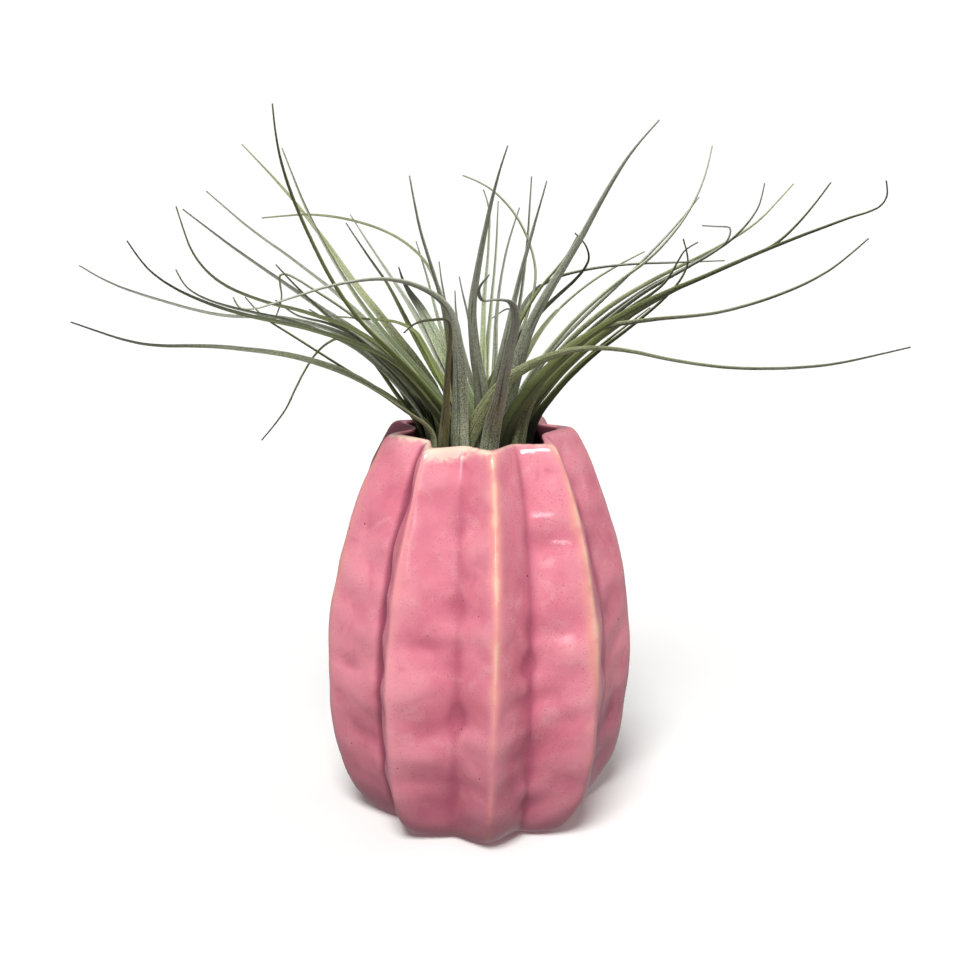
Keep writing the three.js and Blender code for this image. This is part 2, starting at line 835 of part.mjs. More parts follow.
// The middles of a leaf's cross sections, from its root to its tip, closer together where it bends.
function leafStations({ path }) {
  const curve = new THREE.CatmullRomCurve3(path, false, "centripetal");
  const samples = curve.getSpacedPoints(CURVE_SAMPLES);
  const step = (i) => samples[i].clone().sub(samples[i - 1]);
  let effort = 0;
  const efforts = samples.map((_, i) => {
    if (i > 0) effort += step(i).length() / STRAIGHT_STEP;
    if (i > 1) effort += step(i).angleTo(step(i - 1)) / BEND_STEP;
    return effort;
  });
  const steps = Math.round(effort);
  const places = Array.from({ length: steps + 1 }, (_, i) => {
    const at = efforts.findIndex((value) => value >= (effort * i) / steps - ROUNDING);
    return { point: samples[at], share: at / CURVE_SAMPLES };
  });
  return { stations: places.map(({ point }) => point.clone()), shares: places.map(({ share }) => share) };
}

function leafWidth(leaf, share) {
  const widths = [
    [0, LEAF_ROOT_WIDTH],
    [LEAF_FULL_AT, leaf.width],
    ...(leaf.taper ?? LEAF_TAPER).map(([at, part]) => [at, leaf.width * part]),
    [1, LEAF_TIP_WIDTH],
  ];
  return Math.max(LEAF_TIP_WIDTH, smoothThrough(widths, share));
}

const leafThickness = (share) => lerp(LEAF_ROOT_THICKNESS, LEAF_TIP_THICKNESS, share);

// The cross sections of a leaf, each square to its run and turned as little as the run allows.
function leafFrames({ leaf, stations, shares, rootTurn }) {
  const last = stations.length - 1;
  let across = new THREE.Vector3(-Math.sin(rootTurn), Math.cos(rootTurn), 0);
  return stations.map((middle, i) => {
    const along = stations[Math.min(i + 1, last)].clone().sub(stations[Math.max(i - 1, 0)]).normalize();
    across = across.clone().addScaledVector(along, -across.dot(along)).normalize();
    const upper = new THREE.Vector3().crossVectors(along, across).normalize();
    const width = leafWidth(leaf, shares[i]);
    const thickness = leafThickness(shares[i]);
    const channel = width * CHANNEL_SHARE * Math.min(1, shares[i] / CHANNEL_FULL_AT) * (1 - shares[i]);
    const size = Math.hypot(width, thickness + channel) / 2;
    return { middle, across, upper, width, thickness, channel, size };
  });
}

// How far a cross section reaches from its middle in a direction.
function reachOf({ across, upper, width, thickness, channel }, direction) {
  const flat = (across.dot(direction) * width) / 2;
  const tall = (upper.dot(direction) * (thickness + channel)) / 2;
  return Math.hypot(flat, tall);
}

// Points along every leaf where it is tested against the others.
function testPoints(plans) {
  return plans.flatMap((plan, owner) => {
    const frames = leafFrames(plan);
    return frames.slice(1).flatMap((frame, i) =>
      Array.from({ length: TESTS_PER_STEP }, (_, test) => {
        const share = test / TESTS_PER_STEP;
        const place = frames[i].middle.clone().lerp(frame.middle, share);
        return { owner, step: i, share, place, section: share < 0.5 ? frames[i] : frame };
      }),
    );
  });
}

// Every pair of test points of two leaves that are near enough to touch. The points are sorted into
// cubes as wide as the largest reach, so only neighbouring cubes are compared.
function* nearPairs(points) {
  const cells = new Map();
  const key = (x, y, z) => (x * CELLS + y) * CELLS + z;
  for (const point of points) {
    const [x, y, z] = point.place.toArray().map((value) => Math.floor(value / NEAR));
    for (let i = -1; i <= 1; i += 1) {
      for (let j = -1; j <= 1; j += 1) {
        for (let k = -1; k <= 1; k += 1) {
          for (const other of cells.get(key(x + i, y + j, z + k)) ?? []) {
            if (other.owner !== point.owner) yield [point, other];
          }
        }
      }
    }
    const own = key(x, y, z);
    if (!cells.has(own)) cells.set(own, []);
    cells.get(own).push(point);
  }
}

// How far from the axis a leaf may be at a place, so that it passes the wall and the rim untouched.
function mouthReach({ x, y, z }, halfWidth) {
  const turn = radToDeg(Math.atan2(x, -y));
  const spread = radToDeg(halfWidth / Math.hypot(x, y));
  const height = Math.min(z, VASE_HEIGHT);
  const walls = [turn - spread, turn, turn + spread].map((side) =>
    innerRadius(faceAt(side, height), height),
  );
  return Math.min(...walls) - WALL_GAP + Math.max(0, z - MOUTH_CLEAR) * REACH_ABOVE;
}

// The shift that brings a place on a leaf off the stem and inside the mouth.
function confine({ place, section }, stemTop) {
  const outward = new THREE.Vector3(place.x, place.y, 0);
  const reach = outward.length();
  const onStem = place.z < stemTop + STEM_GAP;
  const least = onStem ? stemRadius(place.z) + section.thickness / 2 + ROOT_GAP : 0;
  const wanted = Math.min(Math.max(reach, least), mouthReach(place, section.width / 2));
  return outward.setLength(wanted - reach);
}

// The push that brings one leaf clear of another where they are too near, or null where they are clear.
function pushApart(one, other) {
  const between = one.place.clone().sub(other.place);
  const distance = between.length();
  if (distance > one.section.size + other.section.size + BEND_GAP) return null;
  const direction = between.clone().normalize();
  const wanted = reachOf(one.section, direction) + reachOf(other.section, direction) + BEND_GAP;
  if (distance > wanted) return null;
  if (one.place.z < SEEN_FROM) return direction.setZ(0).setLength(wanted - distance);
  const sight = one.place.clone().sub(VIEWER).normalize();
  const behind = between.dot(sight);
  const order = Math.sign(behind) || 1;
  const lack = Math.sqrt(wanted ** 2 - distance ** 2 + behind ** 2) - behind * order;
  return sight.multiplyScalar(lack * order);
}

// What is left of a shift once a leaf's seen outline is kept. Well above the mouth a leaf gives way
// only along the line on which it is seen, and hidden in the vase it gives way freely.
function keepOutline(shift, place) {
  const alongSight = shift.clone().projectOnVector(place.clone().sub(VIEWER));
  const freedom = clamp((SEEN_FROM - place.z) / (SEEN_FROM - MOUTH_CLEAR), 0, 1);
  return alongSight.lerp(shift, freedom);
}

// Adds a push at a test point to the two stations on its sides.
function addPush(pushes, { owner, step, share }, push, way) {
  pushes[owner][step].addScaledVector(push, way * (1 - share));
  pushes[owner][step + 1].addScaledVector(push, way * share);
}

// Bends the leaves clear of each other, of the stem and of the mouth. A leaf's bends are shared out
// along it, so that it stays smooth.
function bendClear(plans, stemTop) {
  const rest = plans.map(({ stations }) => stations.map((station) => station.clone()));
  const moved = rest.map((stations) => stations.map(() => new THREE.Vector3()));
  const out = rest.map((stations) => stations.findIndex(({ z }) => z > OUT_OF_MOUTH));
  let worst = Infinity;
  for (let round = 0; round < BEND_ROUNDS && worst > BEND_ENOUGH; round += 1) {
    worst = 0;
    const pushes = rest.map((stations) => stations.map(() => new THREE.Vector3()));
    const points = testPoints(plans);
    for (const [one, other] of nearPairs(points)) {
      const push = pushApart(one, other);
      if (!push) continue;
      worst = Math.max(worst, push.length());
      addPush(pushes, one, push, BEND_SPEED);
      addPush(pushes, other, push, -BEND_SPEED);
    }
    points
      .filter(({ owner, step }) => step < out[owner])
      .forEach((point) => addPush(pushes, point, confine(point, stemTop), 1));
    plans.forEach(({ stations }, owner) => {
      const shifts = moved[owner].map((shift, i) =>
        shift.clone().add(keepOutline(pushes[owner][i].clampLength(0, BEND_MOST), stations[i])),
      );
      stations.forEach((station, i) => {
        if (i === 0) return;
        const after = shifts[Math.min(i + 1, shifts.length - 1)];
        const shared = shifts[i - 1].clone().add(after).divideScalar(2);
        moved[owner][i].lerpVectors(shifts[i], shared, BEND_STIFFNESS);
        station.copy(rest[owner][i]).add(moved[owner][i]);
      });
    });
  }
}

// One leaf: a keeled channel from the stem to the tip.
function leafBlade(plan) {
  const rings = leafFrames(plan).map(({ middle, across, upper, width, thickness, channel }) => {
    const corner = (side, rise) => middle.clone().addScaledVector(across, side).addScaledVector(upper, rise);
    return [
      corner(-width / 2, channel / 2),
      corner(0, -channel / 2 - thickness / 2),
      corner(width / 2, channel / 2),
      corner(0, thickness / 2 - channel / 2),
    ];
  });
  return skin(rings, plan.stations[0].clone(), plan.stations.at(-1).clone());
}

function stem(top) {
  const rows = [
    [STEM_BOTTOM, STEM_FOOT_SHARE],
    [STEM_BOTTOM + STEM_ROUND, 1],
    [STEM_BOTTOM + STEM_TAPER_HEIGHT, 1],
    [top - STEM_HEAD_HEIGHT, 1],
    [top, STEM_HEAD_SHARE],
  ];
  const rings = rows.map(([height, share]) =>
    Array.from({ length: STEM_SIDES }, (_, side) => {
      const turn = (2 * Math.PI * side) / STEM_SIDES;
      const radius = stemRadius(height) * share;
      return new THREE.Vector3(radius * Math.cos(turn), radius * Math.sin(turn), height);
    }),
  );
  return skin(rings, new THREE.Vector3(0, 0, STEM_BOTTOM), new THREE.Vector3(0, 0, top));
}

function named(geometry, look, name) {
  const mesh = new THREE.Mesh(geometry, new THREE.MeshStandardMaterial(look));
  mesh.name = name;
  return mesh;
}

function airPlant() {
  const sides = { left: LEFT_LEAVES, back: BACK_LEAVES, front: FRONT_LEAVES, right: RIGHT_LEAVES };
  const leaves = Object.entries(sides).flatMap(([side, ones]) =>
    ones.map((leaf, i) => ({ ...leaf, name: `leaf_${side}_${String(i + 1).padStart(2, "0")}` })),
  );
  const { planned, stemTop } = seatLeaves(leaves);
  planned.forEach((plan) => Object.assign(plan, leafStations(plan)));
  bendClear(planned, stemTop);
  const group = new THREE.Group();
  group.name = "air_plant";
  group.add(named(stem(stemTop), STEM_BROWN, "stem"));
  planned.forEach((plan) => group.add(named(leafBlade(plan), LEAF_TONES[plan.leaf.tone], plan.leaf.name)));
  return group;
}

const airPlantInVase = new THREE.Group();
airPlantInVase.name = "air_plant_in_vase";
airPlantInVase.add(named(vase(), GLAZE_PINK, "vase"), airPlant());

export default airPlantInVase;
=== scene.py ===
import json
import math
import random
from collections import namedtuple

import bmesh
import bpy
from mathutils import Matrix, Vector, noise


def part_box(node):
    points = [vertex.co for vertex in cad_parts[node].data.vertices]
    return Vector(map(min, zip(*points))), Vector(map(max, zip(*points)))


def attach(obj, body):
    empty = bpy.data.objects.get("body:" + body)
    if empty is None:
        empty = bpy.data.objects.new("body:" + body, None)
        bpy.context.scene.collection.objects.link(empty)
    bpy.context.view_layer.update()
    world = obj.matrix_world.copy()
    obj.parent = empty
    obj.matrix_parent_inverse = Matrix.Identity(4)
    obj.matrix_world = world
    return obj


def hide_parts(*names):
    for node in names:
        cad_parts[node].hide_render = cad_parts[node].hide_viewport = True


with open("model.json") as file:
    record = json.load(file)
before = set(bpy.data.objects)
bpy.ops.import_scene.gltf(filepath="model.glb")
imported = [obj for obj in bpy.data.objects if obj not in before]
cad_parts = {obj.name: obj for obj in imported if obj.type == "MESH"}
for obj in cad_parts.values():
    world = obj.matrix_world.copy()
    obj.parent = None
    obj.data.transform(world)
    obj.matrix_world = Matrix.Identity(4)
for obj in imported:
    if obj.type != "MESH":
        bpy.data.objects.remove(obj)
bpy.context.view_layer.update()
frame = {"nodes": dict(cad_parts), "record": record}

MM = 0.001

# The camera stands where the photograph was taken from, and its frame is square.
CAMERA_PLACE = Vector((0, -0.575, 0.268))
CAMERA_DOWN = math.radians(15.48)
CAMERA_LENS = 71.25
CAMERA_SENSOR = 36
CAMERA_NEAR = 0.01
CAMERA_FAR = 100

# The room: a floor that runs on past the picture, even daylight from all round, and three lamps that
# point at the middle of the object. A sun's spread is an angle, and the window is a square this wide.
FLOOR_RADIUS = 25
FLOOR_SIDES = 64
DAYLIGHT = 0.3
LAMP_TARGET = (0, 0, 0.1)
KEY_PLACE = (-0.15, -0.8, 1.3)
KEY_STRENGTH = 3.2
KEY_SPREAD = math.radians(22)
SIDE_PLACE = (1, 0.3, 0.35)
SIDE_STRENGTH = 0.5
SIDE_SPREAD = math.radians(50)
WINDOW_PLACE = (0.19, -1.38, 0.54)
WINDOW_STRENGTH = 1.4
WINDOW_WIDTH = 0.17

# Points of a solid that lie closer than this are one point.
MERGE_DISTANCE = 0.002 * MM

# Vase: its rings of points start at the front ridge, whose direction turns from foot to rim, counted from
# the front towards +X. Every tenth point is a ridge, with a valley halfway between.
VASE_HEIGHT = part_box("vase")[1].z
FRONT_RIDGE_FOOT = math.radians(3.6)
FRONT_RIDGE_RIM = math.radians(7.3)
POINTS_PER_RIB = 10
VASE_FINENESS = 2
# A ring is counted from this angle in radians before the ridge, and points this near the top are the rim.
RING_MARGIN = 0.01
RIM_TOLERANCE = 0.01 * MM
# A groove runs down each valley, at most at this share of its depth.
VALLEY_GROOVE = 0.9 * MM
GROOVE_LIMIT = 0.6
# The clay is uneven in slow swells and fine ripples. They fade to nothing over this height at the foot,
# and to a share of them over this height under the rim. Inside, a share of them is gone.
FOOT_KEPT_FLAT = 3 * MM
RIM_KEPT = 8 * MM
RIM_UNEVENNESS = 0.3
INSIDE_EVENNESS = 0.7
SWELL_SPREAD = Vector((1, 1, 1.7)) / (15 * MM)
SWELL_DEPTH = 1.15 * MM
RIPPLE_SPREAD = Vector((1, 1, 1.3)) / (7 * MM)
RIPPLE_DEPTH = 0.17 * MM

# Where the surface lies under its own smoothed shape the glaze is darker, partly pooled and partly painted
# shade, and where it lies above it is lighter, partly thinner and partly painted light: how often it is
# smoothed, how much each time, and the depth that counts as 1.
SMOOTHINGS = 70
SMOOTHING_SHARE = 0.5
HOLLOW_SCALE = 0.8 * MM

# Marks of the fingers on the front: direction from the front towards +X in degrees, height, reach round
# and reach up in millimetres, and how far it swells out or, below 0, is pressed in.
FINGER_MARKS = (
    (38, 104.5, 7, 4.5, 0.75),
    (38, 98, 8, 3.5, -0.4),
    (-18, 103, 5, 5, -0.5),
    (-63, 90, 6, 4, -0.6),
    (-67, 54, 7, 3, -0.5),
    (-61, 31, 6, 4, -0.6),
    (-24, 68, 9, 3, -0.5),
    (-10, 44.5, 4, 7, -0.5),
    (-27, 32, 7, 3, 0.35),
    (-27, 23, 7, 3.5, -0.6),
    (20, 74, 4, 5, -0.4),
    (20, 59, 4, 5, -0.5),
    (27, 67, 6, 2.4, 0.35),
    (18, 41, 4, 6, -0.6),
    (16, 19, 4, 6, -0.6),
    (38, 43, 9, 3, -0.35),
    (86, 37, 4, 7, -0.6),
    (80, 64, 4, 6, -0.5),
)

# How much of the warm clay shows along each ridge, from the front ridge on towards +X. On the points
# beside a ridge it wanders about a lower share, over this length.
CREST_SHARES = (1, 0.92, 0.6, 0.6, 0.6, 0.6, 0.6, 0.42)
CREST_SIDE = 0.42
CREST_WANDER = 0.45
CREST_WANDER_LENGTH = 9 * MM
# How much of the clay shows on the rim's outer edge after each ridge, what share of that shows on the
# points just under it, and how much shows on its inner edge all round.
RIM_SHARES = (0.6, 0.4, 0.6, 0.6, 0.6, 0.6, 0.9, 1)
RIM_SIDE = 0.42
RIM_ROW = 2 * MM
RIM_INNER = 0.45
# How deep the glaze lies in the valley after each ridge: it cuts the groove and darkens the valley, partly
# as pooled glaze and partly as painted shade.
VALLEY_SHARES = (0.45, 0.4, 0.35, 0.35, 0.35, 0.8, 0.95, 0.12)
# Ridges are pinched straight, so the unevenness fades on them and on the points beside them.
FIRMNESS = (0.85, 0.65, 0.3, 0)
# The upper half of the face right of the front ridge is even too, so it mirrors the window in few pieces.
EVEN_PLACES = range(2, 10)
EVEN_FROM = (62 * MM, 84 * MM)
EVENNESS = 0.85
# Painted shade: the back rib beside the left one is painted dark above this height, in its valley and inner
# wall colours, and its rim shows no clay there.
BACK_RIB_SHADE_PLACES = range(46, 58)
BACK_RIB_SHADE_FROM = 85 * MM
BACK_RIB_SHADE_DARK = 0.4
# Under the rim between the front ridge and the one to its left the glaze is thin further down.
THIN_PLACES = {71: 0.7, 72: 0.95, 73: 1, 74: 0.95, 75: 0.8, 76: 0.45, 77: 0.2}
THIN_DOWN_TO = VASE_HEIGHT - 6 * MM
# At these places the glaze set duller, but not on the ridges, and less on the points beside them.
DULL_PLACES = range(60, 80)
DULLNESS = (0, 0.4, 0.9, 1)
DULL_ROUGHNESS = 0.28

# Leaves: sides of a cross section, rows between two of the frame's cross sections, how a blade thins
# towards its margins and its tip, and how its channel curves.
BLADE_SIDES = 14
BLADE_ROWS = 5
BLADE_THICKNESS = 0.8
MARGIN_SHARPNESS = 0.6
CHANNEL_CURVE = 1.6
TIP_FROM = 0.82
TIP_SHARE = 0.55
# A leaf twists and wanders a little, from the first of these shares of its length on, and fully from the
# second on.
LOOSE_RUN = (0.15, 0.5)
TWIST = math.radians(9)
TWIST_LENGTH = 28 * MM
WANDER = 0.12 * MM
# The shares of a leaf's length between which it turns its face, goes from its lower half's lightness to
# its upper half's, and dries.
TURNING_RUN = (0.3, 0.55)
LIGHTNESS_RUN = (0.4, 0.65)
DRYING_RUN = (0.72, 0.86)
LEAF_SEED = 5

# Stem: the leaf scars round it, which rise and fall twice on their way round.
STEM_FINENESS = 3
SCAR_SPACING = 2.4 * MM
SCAR_DEPTH = 0.25 * MM
SCAR_WAVES = 2
SCAR_WAVE_HEIGHT = 3

# Leaves that turn on their way out, so that the front sees their face, and by how many degrees.
TURNED = {
    "leaf_left_01": 38,
    "leaf_left_03": 30,
    "leaf_left_04": 22,
    "leaf_left_05": 30,
    "leaf_left_13": 35,
    "leaf_left_14": 35,
    "leaf_left_16": 25,
    "leaf_right_03": 25,
    "leaf_right_04": 25,
    "leaf_right_06": 30,
    "leaf_right_08": 25,
    "leaf_right_10": 30,
    "leaf_right_11": 25,
}

# The leaves whose lower part stands in the shade of the others, and how deep that shade is.
SHADED = {
    "leaf_back_15": 0.8,
    "leaf_back_16": 0.85,
    "leaf_back_17": 0.8,
    "leaf_left_02": 0.7,
    "leaf_left_03": 0.3,
    "leaf_left_05": 0.3,
    "leaf_left_15": 0.45,
    "leaf_left_17": 0.5,
    "leaf_left_19": 0.6,
    "leaf_right_09": 0.85,
    "leaf_right_12": 0.55,
    "leaf_right_13": 0.5,
    "leaf_right_14": 0.25,
    "leaf_right_15": 0.7,
}

# They are darkest in the vase's mouth, and that darkness ends at this height over the rim.
MOUTH_SHADE = 16 * MM

# Leaves that are darker (below 0) or lighter (above 0) than their kind, partly their own tone and partly
# painted shade and light: the lower half, the upper half.
LIGHTNESS = {
    "leaf_back_01": (-0.8, -0.1),
    "leaf_back_02": (1, 1),
    "leaf_back_06": (-0.5, 0),
    "leaf_back_11": (0, -0.6),
    "leaf_back_12": (-0.5, 0.3),
    "leaf_back_17": (0, -0.7),
    "leaf_front_01": (0.35, 0.5),
    "leaf_front_02": (0, 0.4),
    "leaf_front_03": (0, 0.6),
    "leaf_front_04": (0.2, 0.1),
    "leaf_front_05": (0, -0.5),
    "leaf_left_02": (-1, 0),
    "leaf_left_03": (-0.5, 0),
    "leaf_left_04": (0.6, 0.1),
    "leaf_left_05": (0, -1),
    "leaf_left_06": (-0.25, -0.35),
    "leaf_left_07": (0.2, 0.4),
    "leaf_left_08": (-0.6, 1),
    "leaf_left_09": (0.7, 0.7),
    "leaf_left_10": (-0.8, -0.5),
    "leaf_left_11": (0.4, 0.6),
    "leaf_left_12": (0.1, 1),
    "leaf_left_14": (0, -0.6),
    "leaf_left_16": (0.3, -1),
    "leaf_left_17": (0, -0.4),
    "leaf_left_18": (1, 1),
    "leaf_left_19": (-1, 0.4),
    "leaf_left_20": (0.3, 0.4),
    "leaf_right_01": (0.15, 0.5),
    "leaf_right_02": (0.2, 0.5),
    "leaf_right_03": (0, -0.6),
    "leaf_right_04": (0.5, 0.3),
    "leaf_right_05": (0.35, 0.2),
    "leaf_right_06": (0.8, 0.3),
    "leaf_right_07": (0, -0.7),
    "leaf_right_08": (0, -0.7),
    "leaf_right_09": (-0.2, -0.5),
    "leaf_right_10": (-0.5, -1),
    "leaf_right_11": (0.1, 0.6),
    "leaf_right_12": (0.6, 0.2),
    "leaf_right_13": (0.7, 0),
    "leaf_right_14": (0, -0.2),
}

# Leaves whose end has dried dark, and how dark it is.
DRY_ENDS = {
    "leaf_back_01": 1,
    "leaf_left_01": 0.5,
    "leaf_left_03": 0.6,
    "leaf_left_09": 0.6,
    "leaf_left_20": 0.6,
}

# The glaze's colours as sRGB. Then the sizes of its clouds, patches and speckles, which are drawn coarser
# than life so that they show, how far patches and speckles stand out, what breaks up the thin glaze on
# edges, how far the edge of the painted shade towards the foot wanders and between which heights that shade
# darkens the glaze, and between which heights the clay shows through.
GLAZE = {
    "body": "#e37f92",
    "lighter body": "#f193a3",
    "milky": "#f9b2b8",
    "rosy": "#cf6880",
    # Hollows and swellings: partly the glaze's own thickness and partly painted shade and light.
    "hollows: pooled glaze and painted shade": "#b04c68",
    "swellings: thin glaze and painted light": "#fbaeb6",
    # Valleys: partly pooled glaze and partly painted shade.
    "valleys: pooled glaze and painted shade": "#8f3c54",
    # Painted shade: the glaze darkens towards the foot.
    "painted shade towards the foot": "#a04e66",
    "speckle": "#9c3f5a",
    "pale speckle": "#fdc3c6",
    "pinhole": "#5b2434",
    # Painted shade: the inner wall is painted a dark maroon.
    "inside": "#5a2838",
    "over clay": "#f9a496",
    "on ridges": "#fdd6b8",
    "on the rim": "#fde6d0",
    "under the rim": "#fbdfcd",
}
GLAZE_CLOUD = 22 * MM
GLAZE_PATCH = 6 * MM
GLAZE_SPECKLE = 0.5 * MM
GLAZE_WAVE_HEIGHT = 0.09 * MM
GLAZE_SPECKLE_HEIGHT = 0.02 * MM
EDGE_WANDER = 6 * MM
EDGE_BREAKS = 3 * MM
CREAM_PATCH = 2.5 * MM
PINHOLE_SPACING = 5 * MM
# Painted shade towards the foot: how far its edge wanders, and the heights where it starts and where it is
# full.
FOOT_SHADE_WANDER = 16 * MM
FOOT_SHADE_FROM = 66 * MM
FOOT_SHADE_FULL = 12 * MM
CLAY_FAINT_BELOW = 30 * MM
CLAY_CLEAR_ABOVE = 80 * MM

# The leaves' mottling and scales, how far the scales and the veins stand out, and how many times the
# veins' noise varies from a leaf's middle to its margin, from its root to its tip, and with its tint.
LEAF_MOTTLE = 4 * MM
SCALE_SIZE = 0.3 * MM
SCALE_HEIGHT = 0.08 * MM
VEIN_HEIGHT = 0.3 * MM
VEIN_SPREAD = {"across": 5.0, "along": 9.0, "tint": 40.0}
BLADE_STOPS = (0.06, 0.32, 0.66, 0.92)
DRY_COLOUR = "#16180f"
DEEP_SHADE = "#0b0d06"

# The stem's fibres run upwards.
FIBRE = 1.2 * MM
FIBRE_STRETCH = (3, 3, 0.5)
FIBRE_HEIGHT = 0.4 * MM

# Leaf finishes as sRGB colours: the blade from root to tip, the tint that some leaves have more of, the
# pale scales, the darker green between them, and how thickly the scales lie.
LEAF_FINISHES = {
    "leaf_silver": {
        "blade": ("#a59d7a", "#878b72", "#8a8d82", "#6a6d6a"),
        "tint": "#8b8e58",
        "scales": "#cbcfb9",
        "shade": "#363a26",
        "cover": 0.55,
    },
    # Pale leaves: partly their own pale green and partly painted light, the glow of leaves lit from behind.
    "leaf_pale": {
        "blade": ("#5f6645", "#b3bd88", "#a1a892", "#787e75"),
        "tint": "#acb981",
        "scales": "#dfe8c8",
        "shade": "#59643c",
        "cover": 0.55,
    },
    "leaf_green": {
        "blade": ("#6d6a4e", "#7d805c", "#85887a", "#616560"),
        "tint": "#7f8450",
        "scales": "#c0c597",
        "shade": "#2b3012",
        "cover": 0.45,
    },
    # Dark leaves: partly their own darker green and partly painted shade.
    "leaf_dark": {
        "blade": ("#3f4519", "#586427", "#676b54", "#484c48"),
        "tint": "#586a10",
        "scales": "#98a266",
        "shade": "#0f1206",
        "cover": 0.28,
    },
    "leaf_brown": {
        "blade": ("#a8a070", "#7d7d52", "#767c46", "#7a7c64"),
        "tint": "#4c5020",
        "scales": "#8f8c66",
        "shade": "#1a1b0a",
        "cover": 0.3,
    },
}


# A value in a material that is stretched from low..high to start..end, smoothly, and held at both ends.
Rise = namedtuple("Rise", ("value", "low", "high", "start", "end"), defaults=(0, 1))


def linear(code):
    """An sRGB hex colour as linear red, green, blue and alpha."""
    parts = [int(code[i : i + 2], 16) / 255 for i in (1, 3, 5)]
    return [c / 12.92 if c <= 0.04045 else ((c + 0.055) / 1.055) ** 2.4 for c in parts] + [1]


def ease(low, high, value):
    """0 below low, 1 above high, and a smooth rise between them."""
    t = min(max((value - low) / (high - low), 0), 1)
    return t * t * (3 - 2 * t)


def make_piece(name, bm, node):
    """Turns a bmesh into a smooth-shaded piece that stands for a node and rides on the part."""
    for face in bm.faces:
        face.smooth = True
    mesh = bpy.data.meshes.new(name)
    bm.to_mesh(mesh)
    bm.free()
    piece = bpy.data.objects.new(name, mesh)
    bpy.context.scene.collection.objects.link(piece)
    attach(piece, "root")
    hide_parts(node)
    return piece


def merged_copy(node):
    """A bmesh of a node's solid with its loose triangles joined."""
    bm = bmesh.new()
    bm.from_mesh(frame["nodes"][node].data)
    bmesh.ops.remove_doubles(bm, verts=bm.verts, dist=MERGE_DISTANCE)
    return bm


def refined(bm, name, levels):
    """A mesh of loose triangles as quads, rounded by subdivision."""
    bmesh.ops.join_triangles(
        bm,
        faces=bm.faces,
        angle_face_threshold=math.pi,
        angle_shape_threshold=math.pi,
    )
    coarse = bpy.data.meshes.new(name + "_coarse")
    bm.to_mesh(coarse)
    bm.free()
    carrier = bpy.data.objects.new(name + "_coarse", coarse)
    bpy.context.scene.collection.objects.link(carrier)
    rounding = carrier.modifiers.new("rounding", "SUBSURF")
    rounding.levels = levels
    rounding.render_levels = levels
    bpy.context.view_layer.update()
    seen = carrier.evaluated_get(bpy.context.evaluated_depsgraph_get())
    fine = bmesh.new()
    fine.from_mesh(seen.to_mesh())
    seen.to_mesh_clear()
    bpy.data.objects.remove(carrier)
    return fine


# Vase

def turn_of(place):
    """Direction round the vase, from the front towards +X."""
    return math.atan2(place.x, -place.y)


def ring_order(vertex):
    """A vertex's direction counted from just before the front ridge at its height."""
    share = vertex.co.z / VASE_HEIGHT
    start = FRONT_RIDGE_FOOT + (FRONT_RIDGE_RIM - FRONT_RIDGE_FOOT) * share
    return (turn_of(vertex.co) - start + RING_MARGIN) % (2 * math.pi)


def new_layers(bm, *names):
    """Values that the mesh carries at each point, by name."""
    return {name: bm.verts.layers.float.new(name) for name in names}


def mark_ribs(bm):
    """Notes how the coarse vase is glazed on its ridges, valleys and rim, and on its inner wall, which is
    painted in shade, and its firmness.
    """
    layers = new_layers(bm, "crest", "valley", "rim", "inside", "firm", "band", "dull")
    bm.normal_update()
    rings = {}
    for vertex in bm.verts:
        top = vertex.co.z > VASE_HEIGHT - RIM_TOLERANCE
        outward = vertex.normal.xy.dot(vertex.co.xy) > 0
        if top:
            vertex[layers["rim"]] = 1 if outward else RIM_INNER
        elif outward and vertex.co.z > VASE_HEIGHT - RIM_ROW:
            vertex[layers["rim"]] = RIM_SIDE
        # Marks the inner wall, where the glaze is painted in shade.
        vertex[layers["inside"]] = 0 if outward or top else 1
        if outward:
            rings.setdefault(round(vertex.co.z / MM, 2), []).append(vertex)
    for ring in rings.values():
        for place, vertex in enumerate(sorted(ring, key=ring_order)):
            mark_place(vertex, place, layers)


def mark_place(vertex, place, layers):
    """Notes what one place of a ring round the vase is like."""
    ridge = round(place / POINTS_PER_RIB)
    away = abs(place - ridge * POINTS_PER_RIB)
    before = place // POINTS_PER_RIB
    beside = CREST_SIDE + CREST_WANDER * noise.noise(vertex.co / CREST_WANDER_LENGTH)
    firm = FIRMNESS[min(away, 3)]
    if place in EVEN_PLACES:
        firm = max(firm, EVENNESS * ease(*EVEN_FROM, vertex.co.z))
    vertex[layers["crest"]] = CREST_SHARES[ridge % len(CREST_SHARES)] * (1, beside, 0)[min(away, 2)]
    vertex[layers["valley"]] = VALLEY_SHARES[before] if away == POINTS_PER_RIB // 2 else 0
    vertex[layers["rim"]] *= RIM_SHARES[before]
    vertex[layers["firm"]] = firm
    vertex[layers["band"]] = THIN_PLACES.get(place, 0)
    vertex[layers["dull"]] = DULLNESS[min(away, 3)] * (place in DULL_PLACES)
    # Painted shade on the back rib's top: darker valley and inner wall colours, and no clay on its rim.
    if place in BACK_RIB_SHADE_PLACES:
        back_rib_shade = ease(BACK_RIB_SHADE_FROM, VASE_HEIGHT, vertex.co.z)
        vertex[layers["valley"]] = max(vertex[layers["valley"]], back_rib_shade)
        vertex[layers["rim"]] *= 1 - back_rib_shade
        vertex[layers["inside"]] = max(vertex[layers["inside"]], BACK_RIB_SHADE_DARK * back_rib_shade)


